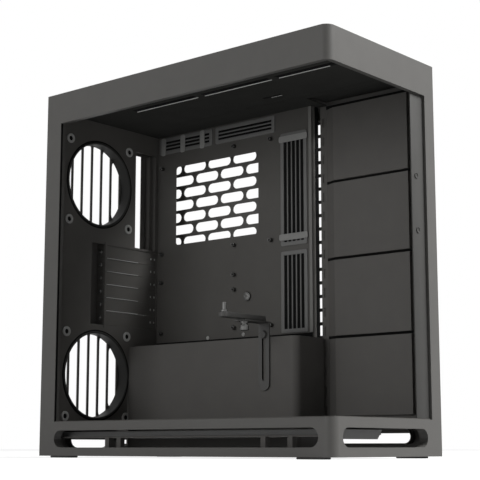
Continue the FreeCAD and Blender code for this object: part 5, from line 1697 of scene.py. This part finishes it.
@dataclass
class FrontPorts:
    """The power button and the sockets beside it."""

    button_roll: float = 0.8 * MM
    button_steps: int = 64
    shell: float = 0.5 * MM
    chamfer: float = 0.1 * MM
    round_half: float = 6 * MM
    corner_share: float = 0.15
    flat_share: float = 1.3
    tongue: float = 2 * MM
    tongue_inset: float = 0.25
    tongue_drop: float = 1.5 * MM
    tongue_corner: float = 0.3 * MM
    tongue_roll: float = 0.2 * MM

    def build(self) -> list[bpy.types.Object]:
        """Builds the button and the sockets."""
        return [self.button(), self.sockets()]

    def button(self) -> bpy.types.Object:
        """A round cap with a rolled rim and a shallow dish.

        Returns:
            The cap.
        """
        low, high = box("power_button")
        radius, tall, roll = (high[0] - low[0]) / 2, high[2] - low[2], self.button_roll
        turns = np.linspace(0, np.pi / 2, 5)
        rim, rise = radius - roll + roll * np.cos(turns), tall - roll + roll * np.sin(turns)
        radii = np.concatenate([[0, radius], rim, [radius * 0.6, radius * 0.3, 0]])
        heights = np.concatenate([[0, 0], rise, tall - np.array([0.35, 0.5, 0.55]) * MM])
        cap = turned(radii, heights, seat(low, high, Axis.UP), Axis.UP, self.button_steps)
        return piece("power_button_cap", [cap], SHELL, "button", ("power_button",))

    def sockets(self) -> bpy.types.Object:
        """Pressed steel shells with a tongue inside, or a bushing for the round one.

        Returns:
            All the shells.
        """
        patches = []
        for low, high in solids("io_ports"):
            half, shell = (high - low) / 2, self.shell
            corner = min(half[0], half[1]) * (1.0 if half[0] < self.round_half else self.corner_share)
            outer = outline(half[0], half[1], corner, 6)
            inner = outline(half[0] - shell, half[1] - shell, max(corner - shell, 0.0), 6)
            middle = (low + high) / 2
            patches.append(ringed(middle, Axis.UP, outer, inner, high[2] - low[2], self.chamfer))
            if half[0] > half[1] * self.flat_share:
                inset = np.array([half[0] * self.tongue_inset, half[1] - self.tongue / 2, 0.0])
                top = high - inset - np.array([0, 0, self.tongue_drop])
                tongue = bevelled(low + inset, top, Axis.UP, self.tongue_corner, self.tongue_roll, 3, 2)
                patches.append(tongue)
        return piece("socket_shells", patches, METAL, nodes=("io_ports",))


@dataclass(frozen=True)
class Softbox:
    """A soft square lamp.

    Attributes:
        name: its name.
        place: where it stands, in metres.
        aim: what it points at.
        size: its width and height.
        power: its power in watts.
    """

    name: str
    place: Point
    aim: Point
    size: float
    power: float

    def build(self) -> None:
        """Adds the lamp to the scene."""
        light = bpy.data.lights.new(self.name, "AREA")
        light.shape = "RECTANGLE"
        light.size = light.size_y = self.size
        light.energy = self.power
        lamp = placed(self.name, light)
        lamp.location = self.place
        way = Vector(np.subtract(self.aim, self.place))
        lamp.rotation_euler = way.to_track_quat("-Z", "Y").to_euler()


@dataclass
class Studio:
    """Floor, lamps and camera."""

    camera_place: Point = (-1.3422, -1.1495, 0.0145)
    camera_turn: Point = (99.4, 0.0, -49.78)
    clip_start: float = 0.05
    clip_end: float = 50.0
    focal: float = 1252.5
    pixels: float = 480.0
    sensor: float = 36.0
    floor_half: float = 6.0
    floor_grey: float = 0.3
    floor_glow: float = 0.82
    ambient: float = 0.045
    lamps: tuple[Softbox, ...] = (
        Softbox("front_softbox", (1.91, -3.3, 4.09), (0.0, 0.0, 0.27), 2.4, 405.0),
        Softbox("left_softbox", (-2.6, 0.5, 0.8), (0.0, 0.0, 0.25), 1.6, 18.6),
        Softbox("top_softbox", (0.0, 0.2, 2.8), (0.0, 0.0, 0.3), 1.6, 20.0),
    )

    def build(self) -> None:
        """Sets the view, the surroundings, the floor, the lamps and the camera."""
        scene = bpy.context.scene
        scene.view_settings.view_transform = "Standard"
        self.surroundings(scene)
        self.floor()
        for lamp in self.lamps:
            lamp.build()
        self.camera(scene)

    def surroundings(self, scene: bpy.types.Scene) -> None:
        """White to the eye and in reflections, and a low even light on the case.

        Args:
            scene: the scene that gets its world.
        """
        world = bpy.data.worlds.new("studio_air")
        scene.world = world
        world.use_nodes = True
        graph = Graph(world.node_tree)
        strength = graph.math("MAXIMUM", graph.seen(), self.ambient)
        lit = graph.add("Background", {"Color": (1, 1, 1, 1), "Strength": strength})
        graph.add("OutputWorld", {0: lit.outputs[0]})

    def floor(self) -> None:
        """A wide paper floor that glows to the eye and in reflections, to meet the white behind it."""
        half = self.floor_half
        corners = [(-half, -half, 0), (half, -half, 0), (half, half, 0), (-half, half, 0)]
        mesh = bpy.data.meshes.new("studio_floor")
        mesh.from_pydata(corners, [], [(0, 1, 2, 3)])
        material = bpy.data.materials.new("studio_paper")
        material.use_nodes = True
        graph = Graph(material.node_tree)
        strength = graph.math("MULTIPLY", graph.seen(), self.floor_glow)
        paper = graph.add("BsdfDiffuse", {"Color": (*(self.floor_grey,) * 3, 1)})
        glow = graph.add("Emission", {"Color": (1, 1, 1, 1), "Strength": strength})
        both = graph.add("AddShader", {0: paper.outputs[0], 1: glow.outputs[0]})
        graph.add("OutputMaterial", {0: both.outputs[0]})
        mesh.materials.append(material)
        floor = placed("studio_floor", mesh)

    def camera(self, scene: bpy.types.Scene) -> None:
        """Stands the camera low at the front left corner.

        Args:
            scene: the scene that gets its camera.
        """
        view = bpy.data.cameras.new("photo_view")
        view.sensor_width = self.sensor
        view.lens = self.focal / self.pixels * self.sensor
        view.clip_start, view.clip_end = self.clip_start, self.clip_end
        camera = placed("photo_view", view)
        camera.location = self.camera_place
        camera.rotation_euler = tuple(math.radians(turn) for turn in self.camera_turn)
        scene.camera = camera


def dress_frame() -> None:
    """Gives each CAD node its own finish, or that of its slot in the record."""
    for part in frame["record"]["subparts"]:
        mesh = frame["nodes"][part["node"]].data
        mesh.materials.clear()
        finish = NODE_FINISHES.get(part["node"], SLOT_FINISHES[part["material_slot"]])
        mesh.materials.append(finish.material())


def main() -> None:
    """Dresses the frame, builds the sub-assemblies and sets up the studio."""
    logging.basicConfig(level=logging.INFO, format="%(message)s")
    dress_frame()
    assemblies = (
        SidePanel(), FanMouths(), CardSlots(), BoardTray(), CableWays(),
        CardSupport(), SheetFolds(), Plinth(), SeatStrip(), FrontPorts(),
    )
    for assembly in assemblies:
        made = assembly.build()
        LOG.info("%s: %d pieces", type(assembly).__name__, len(made))
    Studio().build()


if __name__ == "__main__":
    main()
